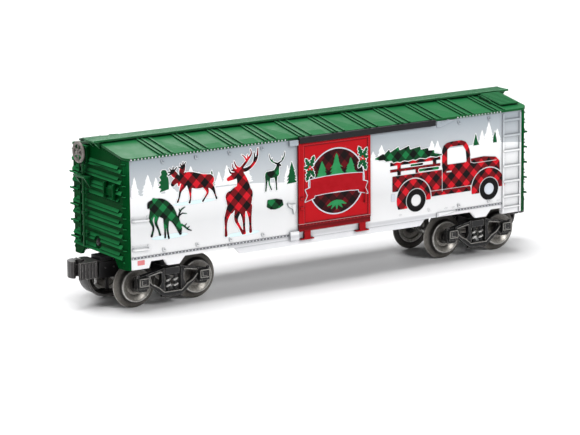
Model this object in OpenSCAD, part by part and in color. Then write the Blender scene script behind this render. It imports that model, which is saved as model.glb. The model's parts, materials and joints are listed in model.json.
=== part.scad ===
// Toy boxcar for 31.75 mm gauge track, on two swivelling trucks.
// +X runs along the car to the plain end, -Y is the near side, +Z is up.
// The origin is under the car's centre, level with the lowest point of the wheel flanges.
// Every level below is measured from a base plane that lies base_z above the origin.

/* [Body] */
// Length of the body over the two end walls
body_l = 235; // [220:1:250]
// Width of the body over the two side walls
body_w = 53.4; // [52:0.2:56]
// Radius of the four upright corners
corner_r = 3.9; // [2.5:0.1:5]
// Thickness of every wall
wall_t = 1.8; // [1.4:0.1:2.2]
// Lowest level of the corner legs and bearing tabs
leg_z = 19.7; // [19.2:0.1:20.5]
// Lower edge of the side walls
sill_z = 23.1; // [22.5:0.1:23.6]
// Level of the roof's ridge
ridge_z = 78; // [76:0.5:82]
// Fall of the roof for each millimetre away from the ridge
roof_fall = 0.173; // [0.14:0.001:0.2]
// Upright thickness of the roof
roof_t = 1.2; // [1:0.1:1.6]

/* [Doors] */
// Left edge of the closed near door
door_x = -22; // [-24:0.5:-20]
// Width of a door
door_w = 42; // [40:0.5:44]
// Lower edge of a door
door_z = 26.5; // [26:0.1:28]
// Level of the top edge of a door
door_top_z = 71.4; // [70:0.1:71.6]
// Thickness of a door's panel
door_t = 1; // [0.8:0.1:1.2]
// Gap between a door and the side wall behind it
door_gap = 0.2; // [0.15:0.05:0.3]
// Travel of a door from closed to open
door_travel = 40; // [36:0.5:40]

/* [Running gear] */
// Distance from the car's centre to each truck's kingpin
truck_x = 90.2; // [88:0.1:91]
// Half of a truck's wheelbase
half_base = 16.7; // [16:0.1:17]
// Radius of a wheel's tread
tread_r = 8.3; // [8:0.1:8.6]
// Height of a flange above the tread
flange_h = 3.05; // [2.6:0.05:3.1]
// Distance from the car's centre line to a wheel's inner face
wheel_back_y = 13.1; // [12.9:0.1:13.4]
// Distance from the car's centre line to a wheel's outer face
wheel_front_y = 17.2; // [17:0.1:17.4]
// Radius of an axle
axle_r = 1.5; // [1.2:0.1:1.6]
// Radius of a kingpin
kingpin_r = 2; // [1.6:0.1:2.2]
// Radial clearance of axles, kingpins and knuckle pins in their bores
running_gap = 0.05; // [0.03:0.01:0.1]

/* [Ends and roof] */
// Number of seams across the roof
seam_count = 11; // [9:2:11]
// Distance between roof seams
seam_pitch = 19.45; // [18:0.05:19.45]
// Number of pressed ribs across an end wall
rib_count = 9; // [6:1:9]
// Distance between the ribs of an end wall
rib_pitch = 5.18; // [5:0.01:5.2]
// Half width of the running board along the ridge
walk_half_w = 4.7; // [4:0.1:5.2]
// Half length of the running board
walk_half_l = 122; // [120:0.5:122]

/* [Hidden] */
$fn = 48;
half_l = body_l / 2;
half_w = body_w / 2;
inner_y = half_w - wall_t;
inner_x = half_l - wall_t;
// Height of the base plane above the lowest point of the flanges.
base_z = 1.9;
axle_z = tread_r + flange_h - base_z;
// The paint line on the brake end lies in the corner, on the plain end at the corner's start.
brake_split_x = -half_l + 2.4;
plain_split_x = half_l - corner_r;
// The roof overhangs the walls by this much on every side.
eave_over = 0.3;
eave_y = half_w + eave_over;
// Floor of the load space.
floor_z = 24.6;
floor_t = 1.6;
floor_top_z = floor_z + floor_t;
// Doorway behind a closed door.
doorway_x0 = door_x + 2.5;
doorway_x1 = door_x + door_w - 2.5;
doorway_z0 = 28.4;
doorway_z1 = 69.4;
// Bearing faces between the underframe and a truck.
bearing_z = 20.6;
bearing_gap = 0.1;
bolster_top_z = 18;
bolster_z = 12.6;
// Sideframe casting.
frame_y = 19.4;
frame_t = 2.8;
kingpin_head_r = 3.4;
kingpin_head_t = 1;
// Screw that holds each end wall to the underframe.
screw_z = 28.9;
// Coupler: levels of the head, and the knuckle pin's place from the truck's centre.
head_z = 13.2;
head_h = 8.2;
head_x = 31;
pin_x = 36.1;
pin_y = -3.9;
pin_r = 0.9;
ear_r = 2.7;
ear_t = 2.1;
tongue_gap = 0.1;
green = [0.08, 0.36, 0.18];
pale = [0.9, 0.91, 0.92];
red = [0.68, 0.09, 0.13];
charcoal = [0.2, 0.2, 0.21];
metal = [0.55, 0.55, 0.54];

// ---- Shared shapes ----

// Box between two corners.
module block(lo, hi) {
    translate(lo) cube(hi - lo);
}

// Upright block with rounded corners, centred on X and Y.
module rounded_block(l, w, z0, z1, r) {
    block([-l / 2 + r, -w / 2, z0], [l / 2 - r, w / 2, z1]);
    block([-l / 2, -w / 2 + r, z0], [l / 2, w / 2 - r, z1]);
    for (sx = [-1, 1], sy = [-1, 1])
        translate([sx * (l / 2 - r), sy * (w / 2 - r), z0]) cylinder(r = r, h = z1 - z0);
}

// Outline in X and Z, made thick along +Y from y0.
module along_y(y0, t) {
    translate([0, y0 + t, 0]) rotate([90, 0, 0]) linear_extrude(t) children();
}

// Outline in Y and Z, made thick along +X from x0.
module along_x(x0, t) {
    translate([x0, 0, 0]) rotate([90, 0, 90]) linear_extrude(t) children();
}

// Round bar between two points that differ along one axis only.
module bar_y(x, z, y0, y1, r) {
    translate([x, y0, z]) rotate([-90, 0, 0]) cylinder(r = r, h = y1 - y0);
}

module bar_z(x, y, z0, z1, r) {
    translate([x, y, z0]) cylinder(r = r, h = z1 - z0);
}

module bar_x(y, z, x0, x1, r) {
    translate([x0, y, z]) rotate([0, 90, 0]) cylinder(r = r, h = x1 - x0);
}

// Turned to the opposite corner of the car, where the same piece is used again.
module opposite() {
    rotate([0, 0, 180]) children();
}

// Lifted from the base plane to its place above the origin.
module on_base() {
    translate([0, 0, base_z]) children();
}

// ---- Roof ----

function roof_z(y) = ridge_z - roof_fall * abs(y);

// Chevron between two offsets from the roof's upper surface, out to half width w.
module roof_outline(low, high, w) {
    polygon([
        [-w, roof_z(w) + low], [-w, roof_z(w) + high], [0, ridge_z + high],
        [w, roof_z(w) + high], [w, roof_z(w) + low], [0, ridge_z + low]
    ]);
}

// One slope of the same, between two distances from the ridge on side s.
module slope_outline(s, y0, y1, low, high) {
    polygon([
        [s * y0, roof_z(y0) + low], [s * y1, roof_z(y1) + low],
        [s * y1, roof_z(y1) + high], [s * y0, roof_z(y0) + high]
    ]);
}

function seam_x(i) = (i - (seam_count - 1) / 2) * seam_pitch;

// A seam is a close pair of ribs and a single one, across both slopes.
module roof_seams() {
    rib_w = 1;
    for (i = [0 : seam_count - 1], x = [-1.2, 1.2, 5.3], s = [-1, 1])
        along_x(seam_x(i) + x - rib_w / 2, rib_w)
            slope_outline(s, walk_half_w + 0.3, eave_y, -0.2, 0.6);
}

module roof() {
    color(green) on_base() union() {
        intersection() {
            along_x(-half_l - 1, body_l + 2) roof_outline(-roof_t, 0, eave_y);
            rounded_block(body_l + 2 * eave_over, 2 * eave_y, 70, ridge_z + 1, corner_r + eave_over);
        }
        roof_seams();
    }
}

// Board along the ridge, its saddles, and a pair of brackets at each end.
module running_board() {
    board_t = 0.9;
    saddle_w = 1.6;
    color(green) on_base() union() {
        block([-walk_half_l, -walk_half_w, ridge_z], [walk_half_l, walk_half_w, ridge_z + board_t]);
        for (i = [0 : seam_count - 1], s = [-1, 1])
            along_x(seam_x(i) - saddle_w / 2, saddle_w)
                polygon([[0, ridge_z], [s * 4.2, ridge_z], [s * 4.2, roof_z(4.2)]]);
        for (end = [-1, 1], y = [-3.4, 2.6])
            mirror([end < 0 ? 1 : 0, 0, 0]) along_y(y, 0.8)
                polygon([
                    [half_l + eave_over, ridge_z], [walk_half_l - 0.8, ridge_z],
                    [half_l + eave_over, ridge_z - 3.4]
                ]);
    }
}

// Short walk beside the running board, down the near slope of the plain end.
module roof_walk() {
    walk_x0 = 103.5;
    walk_x1 = 115.2;
    color(green) on_base() union() {
        along_x(walk_x0, walk_x1 - walk_x0)
            slope_outline(-1, walk_half_w + 0.3, 22, 0.5, 1.3);
        for (x = [walk_x0 + 0.6, walk_x1 - 1.6])
            along_x(x, 1) slope_outline(-1, walk_half_w + 0.9, 21.6, 0, 0.5);
    }
}

module near_roof_walk() roof_walk();
module far_roof_walk() opposite() roof_walk();

// ---- Walls ----

// All four walls as one ring, up to the underside of the roof.
module wall_ring() {
    difference() {
        rounded_block(body_l, body_w, leg_z, ridge_z, corner_r);
        rounded_block(body_l - 2 * wall_t, body_w - 2 * wall_t, leg_z - 1, ridge_z + 1,
                      corner_r - wall_t);
        along_x(-half_l - 1, body_l + 2) roof_outline(-roof_t, 20, half_w + 1);
    }
}

// What is cut away below a side wall, leaving the corner legs and the tabs over the trucks.
module side_underside() {
    polygon([
        [-105.7, leg_z - 1], [-105.7, leg_z], [-104.5, 22.9], [-97.4, 22.9], [-95.3, leg_z],
        [-95.3, leg_z - 1], [-89, leg_z - 1], [-89, leg_z], [-85.9, sill_z],
        [82, sill_z], [85.1, leg_z], [85.1, leg_z - 1], [91.7, leg_z - 1], [91.7, leg_z],
        [94.6, 22.9], [100.9, 22.9], [101.5, leg_z], [101.5, leg_z - 1]
    ]);
}

// Set-back skirt below the doorway.
module skirt() {
    along_y(-half_w + 0.8, wall_t - 0.8)
        polygon([[-57.9, sill_z + 1], [-57.9, sill_z], [-54.8, leg_z],
                 [51.4, leg_z], [54.5, sill_z], [54.5, sill_z + 1]]);
}

// Ladder moulded on the side: two stiles and a row of rungs.
module side_ladder() {
    rung_pitch = 7.85;
    for (x = [101.6, 112.1])
        block([x, -half_w - 0.7, leg_z + 0.3], [x + 1.1, -half_w + 0.2, 71.4]);
    for (i = [0 : 5])
        block([102, -half_w - 1, 67.4 - i * rung_pitch], [112.6, -half_w + 0.2, 68.3 - i * rung_pitch]);
    block([102, -half_w - 1, 22.6], [112.6, -half_w + 0.2, 23.4]);
}

// Side wall between x0 and x1, with its doorway, stops, guide plates and ladder.
module side_wall(x0, x1) {
    difference() {
        intersection() {
            wall_ring();
            block([x0, -half_w - 1, 0], [x1, -half_w + 6, 100]);
        }
        along_y(-half_w - 1, wall_t + 2) side_underside();
        block([doorway_x0, -half_w - 1, doorway_z0], [doorway_x1, -inner_y + 1, doorway_z1]);
    }
    skirt();
    side_ladder();
    // Stops that the door closes against.
    for (z = [[22.9, 27], [69.4, 72]])
        block([door_x - 5, -half_w - 1.5, z[0]], [door_x - 0.1, -half_w + 0.2, z[1]]);
    // Tapered plates that end the upper and lower door guides.
    along_y(-half_w - 0.6, 0.8) polygon([[60.8, 69], [63, 69], [72, 71.9], [60.8, 72]]);
    along_y(-half_w - 0.6, 0.8) polygon([[60.8, sill_z], [73.5, sill_z + 2.2], [60.8, sill_z + 2.2]]);
}

module near_side() {
    color(pale) on_base() union() side_wall(brake_split_x, plain_split_x);
}

// The far wall is the near one turned about, cut to meet the same two end walls.
module far_side() {
    color(pale) on_base() opposite() union() side_wall(-plain_split_x, -brake_split_x);
}

// Pressed ribs of an end wall: each leans out in a narrow step and then in a wide one below it.
// The wide step is missing where the wall's two sheets meet in a riveted seam.
module end_ribs() {
    top_z = 69.3;
    sheet_seam_rib = 3;
    wide_half_w = 23.4;
    narrow_half_w = 20.4;
    back_x = half_l - 0.2;
    for (i = [0 : rib_count - 1]) {
        z = top_z - i * rib_pitch;
        along_y(-narrow_half_w, 2 * narrow_half_w)
            polygon([[back_x, z], [half_l + 0.9, z - 1.7], [back_x, z - 2]]);
        if (i != sheet_seam_rib)
            along_y(-wide_half_w, 2 * wide_half_w)
                polygon([[back_x, z - 1.5], [half_l + 0.3, z - 1.8], [half_l + 1.2, z - 3.3],
                         [back_x, z - 3.6]]);
    }
}

// Rungs standing off an end wall on short legs.
module end_ladder() {
    rung_pitch = 7.9;
    stand = 1.8;
    rung_r = 0.47;
    leg_r = 0.36;
    for (i = [0 : 4]) {
        z = 59.9 - i * rung_pitch;
        bar_y(half_l + stand, z, -23.8, -15.8, rung_r);
        for (y = [-23.3, -16.3])
            bar_x(y, z, half_l - 0.2, half_l + stand, leg_r);
    }
}

// Gap under an end wall for the coupler, and the screw's hole with a round recess in the ribs.
module end_wall_cuts() {
    recess_r = 3.2;
    along_x(half_l - wall_t - 8, wall_t + 12)
        polygon([[-19.5, leg_z - 1], [-14, 24.5], [14, 24.5], [19.5, leg_z - 1]]);
    bar_x(0, screw_z, inner_x - 1, half_l + 3, 1.3);
    bar_x(0, screw_z, half_l, half_l + 3, recess_r);
}

module plain_end() {
    color(green) on_base() difference() {
        union() {
            intersection() {
                wall_ring();
                block([plain_split_x, -half_w - 1, 0], [half_l + 1, half_w + 1, 100]);
            }
            end_ribs();
            end_ladder();
        }
        end_wall_cuts();
    }
}

module brake_end() {
    color(green) on_base() difference() {
        union() {
            intersection() {
                wall_ring();
                block([-half_l - 1, -half_w - 1, 0], [brake_split_x, half_w + 1, 100]);
            }
            opposite() end_ribs();
            opposite() end_ladder();
            // Board for notices, between two posts.
            block([-half_l - 1.3, -17.7, 54], [-half_l + 0.2, -9.7, 57.4]);
            for (y = [-18.4, -9.9])
                block([-half_l - 2.4, y, 52.6], [-half_l + 0.2, y + 0.9, 60]);
            // Housing of the brake shaft.
            block([-half_l - 1.7, 7.4, 65.6], [-half_l + 0.2, 13.2, 74.4]);
        }
        opposite() end_wall_cuts();
    }
}

// ---- Brake gear ----

module brake_wheel() {
    wheel_r = 5.3;
    rim_r = 0.75;
    spoke_r = 0.45;
    color(metal) on_base() translate([-half_l - 4.4, 10.3, 71.5]) rotate([0, 90, 0]) union() {
        rotate_extrude() translate([wheel_r - rim_r, 0]) circle(r = rim_r);
        for (a = [0 : 60 : 300])
            rotate([0, 0, a]) rotate([0, 90, 0])
                cylinder(r = spoke_r, h = wheel_r - rim_r);
        translate([0, 0, -0.7]) cylinder(r = 1.4, h = 1.4);
    }
}

// Shaft from the wheel to its housing, and the rod that runs down the end wall.
module brake_shaft() {
    color(green) on_base() union() {
        bar_x(10.3, 71.5, -half_l - 3.7, -half_l - 1.7, 1);
        bar_z(-half_l - 2.6, 9.6, 25.6, 71.5, 0.6);
    }
}

// Platform for the brakeman and its two braces, between two ribs of the end wall.
module brake_step() {
    step_z = 59.4;
    step_depth = 5.2;
    rib_face_x = -half_l - 1.3;
    color(green) on_base() union() {
        difference() {
            block([-half_l - step_depth, 4.5, step_z], [-half_l, 15, step_z + 0.9]);
            // Way through for the brake rod.
            block([-half_l - 3.7, 8.5, step_z - 1], [-half_l - 1.6, 10.7, step_z + 2]);
        }
        for (y = [5.3, 13.8])
            along_y(y, 0.8) polygon([
                [rib_face_x, step_z + 0.3], [-half_l - step_depth + 0.6, step_z + 0.3],
                [rib_face_x, step_z - 4.6]
            ]);
    }
}

// ---- Doors and their tracks ----

// Channel that the top edge of the near door slides in.
module door_track() {
    front_y = -half_w - 2.1;
    top_z = 73.1;
    color(charcoal) on_base() along_x(door_x + 0.4, door_w + door_travel - 1.4)
        polygon([
            [front_y, 70.2], [front_y, top_z], [-eave_y, top_z], [-eave_y, 72],
            [-half_w, 72], [-half_w, 71.7], [front_y + 0.45, 71.7], [front_y + 0.45, 70.2]
        ]);
}

module near_door_track() door_track();
module far_door_track() opposite() door_track();

// Door with a raised border, and two lugs whose feet run under the sill.
module door() {
    back_y = -half_w - door_gap;
    face_y = back_y - door_t;
    left_border = 3;
    right_border = 1.4;
    color(red) on_base() union() {
        block([door_x, face_y, door_z], [door_x + door_w, back_y, door_top_z]);
        // Raised frame around the panel.
        difference() {
            block([door_x, face_y - 0.35, door_z + 2.6], [door_x + door_w, face_y + 0.1, 70]);
            block([door_x + left_border, face_y - 1, door_z + 3.8],
                  [door_x + door_w - right_border, face_y + 0.05, 68.8]);
        }
        for (x = [door_x + 3, door_x + door_w - 6.6]) {
            block([x, face_y - 0.35, sill_z - 0.8], [x + 3.6, back_y, door_z + 0.5]);
            block([x - 2, face_y - 0.35, sill_z - 0.8], [x + 5.6, -half_w + 0.5, sill_z - 0.2]);
        }
    }
}

module near_door() door();
module far_door() opposite() door();

// ---- Underframe ----

// Floor plate with turned-up ends, sills and the bearing pads over the trucks.
module underframe() {
    pad_r = 6;
    sill_y = 7;
    color(charcoal) on_base() difference() {
        union() {
            rounded_block(2 * inner_x, 2 * inner_y - 0.1, floor_z, floor_top_z, corner_r - wall_t);
            for (s = [-1, 1]) {
                block([s > 0 ? inner_x - 1.5 : -inner_x, -9, floor_z],
                      [s > 0 ? inner_x : -inner_x + 1.5, 9, 32.6]);
                bar_z(s * truck_x, 0, bearing_z, floor_z + 0.5, pad_r);
                block([-56, s * sill_y - 0.8, 20.4], [56, s * sill_y + 0.8, floor_z + 0.5]);
            }
            // Cross bearers between the sills and the side walls.
            for (x = [-54, -18, 18, 54], s = [-1, 1])
                block([x - 0.8, s > 0 ? sill_y : -inner_y + 0.4, 21.4],
                      [x + 0.8, s > 0 ? inner_y - 0.4 : -sill_y, floor_z + 0.5]);
        }
        for (s = [-1, 1]) {
            bar_z(s * truck_x, 0, bearing_z - 1, floor_top_z + 1, kingpin_r);
            bar_z(s * truck_x, 0, floor_top_z - kingpin_head_t, floor_top_z + 1, kingpin_head_r + 0.1);
            bar_x(0, screw_z, s > 0 ? inner_x - 3 : -inner_x - 1, s > 0 ? inner_x + 1 : -inner_x + 3, 1.1);
        }
    }
}

// Pin that a truck turns on, with a head sunk in the floor and one below the bolster.
module kingpin(x) {
    color(metal) on_base() union() {
        bar_z(x, 0, bolster_z - 0.5, floor_top_z - 0.5, kingpin_r);
        bar_z(x, 0, bolster_z - 1.5, bolster_z - 0.3, kingpin_head_r);
        bar_z(x, 0, floor_top_z - kingpin_head_t, floor_top_z - 0.1, kingpin_head_r);
    }
}

module brake_kingpin() kingpin(-truck_x);
module plain_kingpin() kingpin(truck_x);

// ---- Trucks ----
// A truck is drawn with its coupler towards +X and its kingpin on the Z axis.

module at_truck(end) {
    if (end == "plain") translate([truck_x, 0, base_z]) children();
    else translate([-truck_x, 0, base_z]) rotate([0, 0, 180]) children();
}

// Cross member that carries the underframe's bearing pad.
module bolster() {
    color(charcoal) difference() {
        union() {
            block([-4.4, -frame_y, bolster_z], [4.4, frame_y, bolster_top_z]);
            bar_z(0, 0, bolster_top_z - 0.2, bearing_z - bearing_gap, 5.6);
        }
        bar_z(0, 0, bolster_z - 1, bearing_z + 1, kingpin_r + running_gap);
    }
}

// Sideframe casting on the truck's -Y side.
module sideframe() {
    outer_y = -frame_y - frame_t;
    journal_y = outer_y - 1.8;
    web_y = outer_y + 1.4;
    nest_x = 4.5;
    spring_x = 2.1;
    color(charcoal) difference() {
        union() {
            along_y(outer_y, frame_t) difference() {
                // Outline: journals at the ends, an arch below, and a top chord that rises to the middle.
                polygon([
                    [-19.6, 8.6], [-19.6, 14.3], [-12.6, 15.7], [-7, 16.7], [-4.6, 17.4], [4.6, 17.4],
                    [7, 16.7], [12.6, 15.7], [19.6, 14.3], [19.6, 8.6], [18.4, 7.2], [14.4, 7.2],
                    [13, 9.9], [6.9, 4.9], [4.8, 3.6], [-4.8, 3.6], [-6.9, 4.9], [-13, 9.9],
                    [-14.4, 7.2], [-18.4, 7.2]
                ]);
                // Windows each side of the spring nest.
                for (s = [-1, 1])
                    polygon([[s * 6, 14.4], [s * 6.7, 15.2], [s * 13.1, 14], [s * 13.4, 12.4],
                             [s * 11, 9.8], [s * 8.2, 8], [s * 6.9, 8.8], [s * 6, 10.8]]);
                // Spring nest, and the gaps beside the bolster's end.
                translate([-nest_x, 5.6]) square([2 * nest_x, 12.4]);
            }
            // Web behind the bolster's end plate, between the two columns.
            block([-nest_x - 0.1, web_y, 13.8], [nest_x + 0.1, -frame_y, 17.3]);
            block([-3.8, outer_y + 0.2, 13.9], [3.8, web_y + 0.1, 17.1]);
            // Journal boxes.
            for (s = [-1, 1])
                block([s * half_base - 2.6, journal_y, 9], [s * half_base + 2.6, outer_y + 1, 14.2]);
            // Spring guides in the nest.
            for (x = [-spring_x, spring_x])
                bar_z(x, outer_y + 1.3, 5, 14, 0.9);
            // Pad under the arch.
            block([-3.4, outer_y + 0.5, 2.9], [3.4, -frame_y, 4]);
        }
        // Bearings for the axle ends.
        for (s = [-1, 1])
            bar_y(s * half_base, axle_z, outer_y + 0.6, -frame_y + 1, axle_r + running_gap);
    }
}

// Arm that carries the coupler over the outer axle.
module drawbar() {
    color(charcoal) union() {
        block([4.4, -5, bolster_z], [head_x, 5, 17.6]);
        block([20.5, -6, bolster_z], [head_x, 6, 20.4]);
        block([22.5, -4.6, 20.4], [head_x - 1.5, 4.6, 22.6]);
    }
}

// Outline of the coupler head from above, with the guard arm on +Y.
module head_outline() {
    polygon([
        [head_x, -5.2], [head_x, 5.2], [32.4, 6.5], [41.4, 6.5], [41.8, 5.4], [39.2, 4.3],
        [37, 2.6], [35.8, 0.6], [35, -1.2], [33.8, -6.4], [32.2, -6.4]
    ]);
}

// Head with two ears around the knuckle's tongue, and the pin through them.
module coupler_head() {
    color(charcoal) union() {
        difference() {
            union() {
                translate([0, 0, head_z]) linear_extrude(head_h) head_outline();
                bar_z(pin_x, pin_y, head_z, head_z + head_h, ear_r);
                block([32.4, pin_y - ear_r, head_z], [pin_x, pin_y + ear_r, head_z + head_h]);
            }
            // Slot for the tongue.
            block([32.7, -7, head_z + ear_t], [42, -0.6, head_z + head_h - ear_t]);
        }
        bar_z(pin_x, pin_y, head_z, head_z + head_h, pin_r);
    }
}

// Knuckle: a tongue on the pin, and a nose that curls round in front of the ears.
module knuckle() {
    clear_r = ear_r + 0.3;
    z0 = head_z + ear_t + tongue_gap;
    z1 = head_z + head_h - ear_t - tongue_gap;
    color(metal) difference() {
        union() {
            bar_z(pin_x, pin_y, z0, z1, ear_r);
            translate([0, 0, z0]) linear_extrude(z1 - z0)
                polygon([[pin_x, pin_y - ear_r], [40.9, -5.6], [40.9, -2], [pin_x, pin_y + ear_r]]);
            difference() {
                translate([0, 0, head_z]) linear_extrude(head_h)
                    polygon([[37.9, -6.6], [40.5, -6.2], [42.5, -4.6], [43.2, -2.2], [43.1, 0.4],
                             [42.1, 1.5], [40.9, 1], [40.5, -0.4], [39.9, -1.6], [38.5, -2.4]]);
                bar_z(pin_x, pin_y, head_z - 1, head_z + head_h + 1, clear_r);
            }
        }
        bar_z(pin_x, pin_y, z0 - 1, z1 + 1, pin_r + running_gap);
    }
}

// Plate under the drawbar that bends up to the coupler, with its disc and its post.
module uncoupling_plate() {
    plate_t = 0.9;
    plate_half_w = 4.6;
    bend_r = 9.8;
    bend_x = 26.7;
    plate_z = head_z - bend_r;
    color(metal) union() {
        intersection() {
            difference() {
                bar_y(bend_x, head_z, -plate_half_w, plate_half_w, bend_r);
                bar_y(bend_x, head_z, -plate_half_w - 1, plate_half_w + 1, bend_r - plate_t);
            }
            block([bend_x, -plate_half_w, plate_z], [bend_x + bend_r, plate_half_w, head_z]);
        }
        block([8, -plate_half_w, plate_z], [bend_x, plate_half_w, plate_z + plate_t]);
        bar_z(20, 0, plate_z - 1.2, plate_z + 0.1, 3.6);
        bar_z(22.2, -2.6, plate_z + 0.1, bolster_z, 0.9);
    }
}

module brake_truck_bolster() at_truck("brake") bolster();
module brake_truck_near_frame() at_truck("brake") opposite() sideframe();
module brake_truck_far_frame() at_truck("brake") sideframe();
module brake_truck_drawbar() at_truck("brake") drawbar();
module brake_coupler_head() at_truck("brake") coupler_head();
module brake_uncoupling_plate() at_truck("brake") uncoupling_plate();
module brake_knuckle() at_truck("brake") knuckle();
module plain_truck_bolster() at_truck("plain") bolster();
module plain_truck_near_frame() at_truck("plain") sideframe();
module plain_truck_far_frame() at_truck("plain") opposite() sideframe();
module plain_truck_drawbar() at_truck("plain") drawbar();
module plain_coupler_head() at_truck("plain") coupler_head();
module plain_uncoupling_plate() at_truck("plain") uncoupling_plate();
module plain_knuckle() at_truck("plain") knuckle();

// ---- Wheelsets, numbered from the brake end ----

function axle_x(i) = (i < 3 ? -truck_x : truck_x) + (i % 2 == 1 ? -half_base : half_base);

module axle(i) {
    end_y = frame_y + frame_t - 0.8;
    color(metal) on_base() bar_y(axle_x(i), axle_z, -end_y, end_y, axle_r);
}

// Two deeply flanged wheels, facing outwards, pressed on the axle.
module wheels(i) {
    rim_r = tread_r - 0.5;
    flange_r = tread_r + flange_h;
    front_y = wheel_front_y;
    color(metal) on_base() translate([axle_x(i), 0, axle_z])
        for (s = [-1, 1])
            rotate([s > 0 ? -90 : 90, 0, 0]) rotate_extrude($fn = 96) polygon([
                [axle_r, wheel_back_y + 0.5], [axle_r, front_y - 0.4], [3, front_y - 0.4],
                [3.3, front_y - 1.9], [4.8, front_y - 1.9], [7.4, front_y - 0.3], [7.5, front_y],
                [rim_r, front_y], [tread_r - 0.1, front_y - 0.4], [tread_r + 0.15, front_y - 2.2],
                [tread_r + 0.7, front_y - 2.8], [flange_r - 0.7, front_y - 3.1],
                [flange_r, front_y - 3.4], [flange_r, front_y - 3.8], [flange_r - 0.4, wheel_back_y],
                [6.4, wheel_back_y], [6, wheel_back_y + 0.8], [3.4, wheel_back_y + 0.8],
                [3, wheel_back_y + 0.5]
            ]);
}

module axle_1() axle(1);
module axle_2() axle(2);
module axle_3() axle(3);
module axle_4() axle(4);
module wheels_1() wheels(1);
module wheels_2() wheels(2);
module wheels_3() wheels(3);
module wheels_4() wheels(4);

near_side();
far_side();
brake_end();
plain_end();
roof();
running_board();
near_roof_walk();
far_roof_walk();
underframe();
brake_kingpin();
plain_kingpin();
near_door_track();
far_door_track();
brake_wheel();
brake_shaft();
brake_step();
near_door();
far_door();
brake_truck_bolster();
brake_truck_near_frame();
brake_truck_far_frame();
brake_truck_drawbar();
brake_coupler_head();
brake_uncoupling_plate();
brake_knuckle();
plain_truck_bolster();
plain_truck_near_frame();
plain_truck_far_frame();
plain_truck_drawbar();
plain_coupler_head();
plain_uncoupling_plate();
plain_knuckle();
axle_1();
wheels_1();
axle_2();
wheels_2();
axle_3();
wheels_3();
axle_4();
wheels_4();
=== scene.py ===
"""Looks of a toy boxcar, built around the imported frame: print, plastic, castings and small fittings."""

import json
import math
import random

import bmesh
import bpy
import numpy as np
from mathutils import Matrix, Vector


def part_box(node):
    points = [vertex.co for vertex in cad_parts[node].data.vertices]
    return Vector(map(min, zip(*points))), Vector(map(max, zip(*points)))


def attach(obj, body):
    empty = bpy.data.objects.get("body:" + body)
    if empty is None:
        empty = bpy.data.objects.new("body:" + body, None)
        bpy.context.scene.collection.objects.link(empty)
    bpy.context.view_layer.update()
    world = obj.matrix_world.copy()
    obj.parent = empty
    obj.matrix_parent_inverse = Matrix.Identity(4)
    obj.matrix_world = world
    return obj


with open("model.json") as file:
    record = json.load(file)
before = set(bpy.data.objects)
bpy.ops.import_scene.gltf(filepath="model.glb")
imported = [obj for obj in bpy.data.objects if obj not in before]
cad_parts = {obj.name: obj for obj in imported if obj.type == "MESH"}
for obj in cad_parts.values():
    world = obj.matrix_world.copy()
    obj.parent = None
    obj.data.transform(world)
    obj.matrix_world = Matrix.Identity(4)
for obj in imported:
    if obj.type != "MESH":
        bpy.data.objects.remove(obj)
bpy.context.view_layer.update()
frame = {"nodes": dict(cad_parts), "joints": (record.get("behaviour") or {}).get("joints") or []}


def make_object(name, data):
    """Object of the scene, from a mesh, a light or a camera."""
    obj = bpy.data.objects.new(name, data)
    bpy.context.scene.collection.objects.link(obj)
    return obj


# ---- Sizes, in millimetres, some read from the frame ----

MM = 0.001
# Level of the axles above the base plane.
AXLE_Z = 9.45


def joint_at(name):
    return next(Vector(j["pos_m"]) / MM for j in frame["joints"] if j["name"] == name)


# All levels below are heights above the car's base plane, which lies this far above the origin.
BASE = Vector((0, 0, joint_at("wheelset_1_spin").z - AXLE_Z))


def box_mm(node):
    """Lowest and highest corner of a CAD node, in millimetres from the base plane."""
    low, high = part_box(node)
    return low / MM - BASE, high / MM - BASE


HALF_L = box_mm("roof")[1].x - 0.3
HALF_W = box_mm("plain_end")[1].y
RIDGE_Z = box_mm("roof")[1].z
ROOF_FALL = 0.173
BOARD_TOP = box_mm("running_board")[1].z
BOARD_HALF_W = box_mm("running_board")[1].y
BOARD_HALF_L = box_mm("running_board")[1].x
DOOR_LOW, DOOR_HIGH = box_mm("near_door")
# Sunken panel of a door: its borders at left and right, its lower and upper edge, and its face.
PANEL_LEFT = 3.0
PANEL_RIGHT = 1.4
PANEL_LOW = 30.3
PANEL_TOP = 68.8
DOOR_FACE = DOOR_LOW.y + 0.35
# The door slides over what lies to its right as far as this.
DOOR_REACH = 70.0
TRUCK_X = joint_at("plain_truck_swivel").x
HALF_BASE = joint_at("wheelset_4_spin").x - TRUCK_X
# Outer faces of the near sideframe and of its journal lids.
FRAME_OUT = -22.2
LID_OUT = FRAME_OUT - 1.8
# The side print covers the wall's outer skin up to its top; painted shade lies on its sill between the
# trucks.
PRINT_SKIN = 0.75
PRINT_TOP = 74.5
SILL_TOP = 25.8
SILL_HALF_L = 62.0
# Double seams of the roof, and ribs of the ends.
SEAM_PITCH = 19.45
SEAM_GAP = 4.2
SEAM_COUNT = 11
RIB_TOP = 69.3
RIB_PITCH = 5.18
RIB_COUNT = 9
# Reach of the wheels' colours from the axle, width of a plaid's repeat, and the dark share of it.
WHEEL_REACH = 12
PLAID_PITCH = 6.58
PLAID_BAND = 0.53
# Direction out of the photographed side.
NEAR = (0, -1, 0)


def roof_z(y):
    """Level of the roof's upper surface at a distance y from the ridge."""
    return RIDGE_Z - ROOF_FALL * abs(y)


# ---- Camera ----

CAMERA_AT = Vector((-0.7884, -1.2126, 0.3425))
CAMERA_YAW = 0.5711
CAMERA_PITCH = 0.2154
CAMERA_ROLL = -0.010
CAMERA_LENS = 184.7


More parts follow.
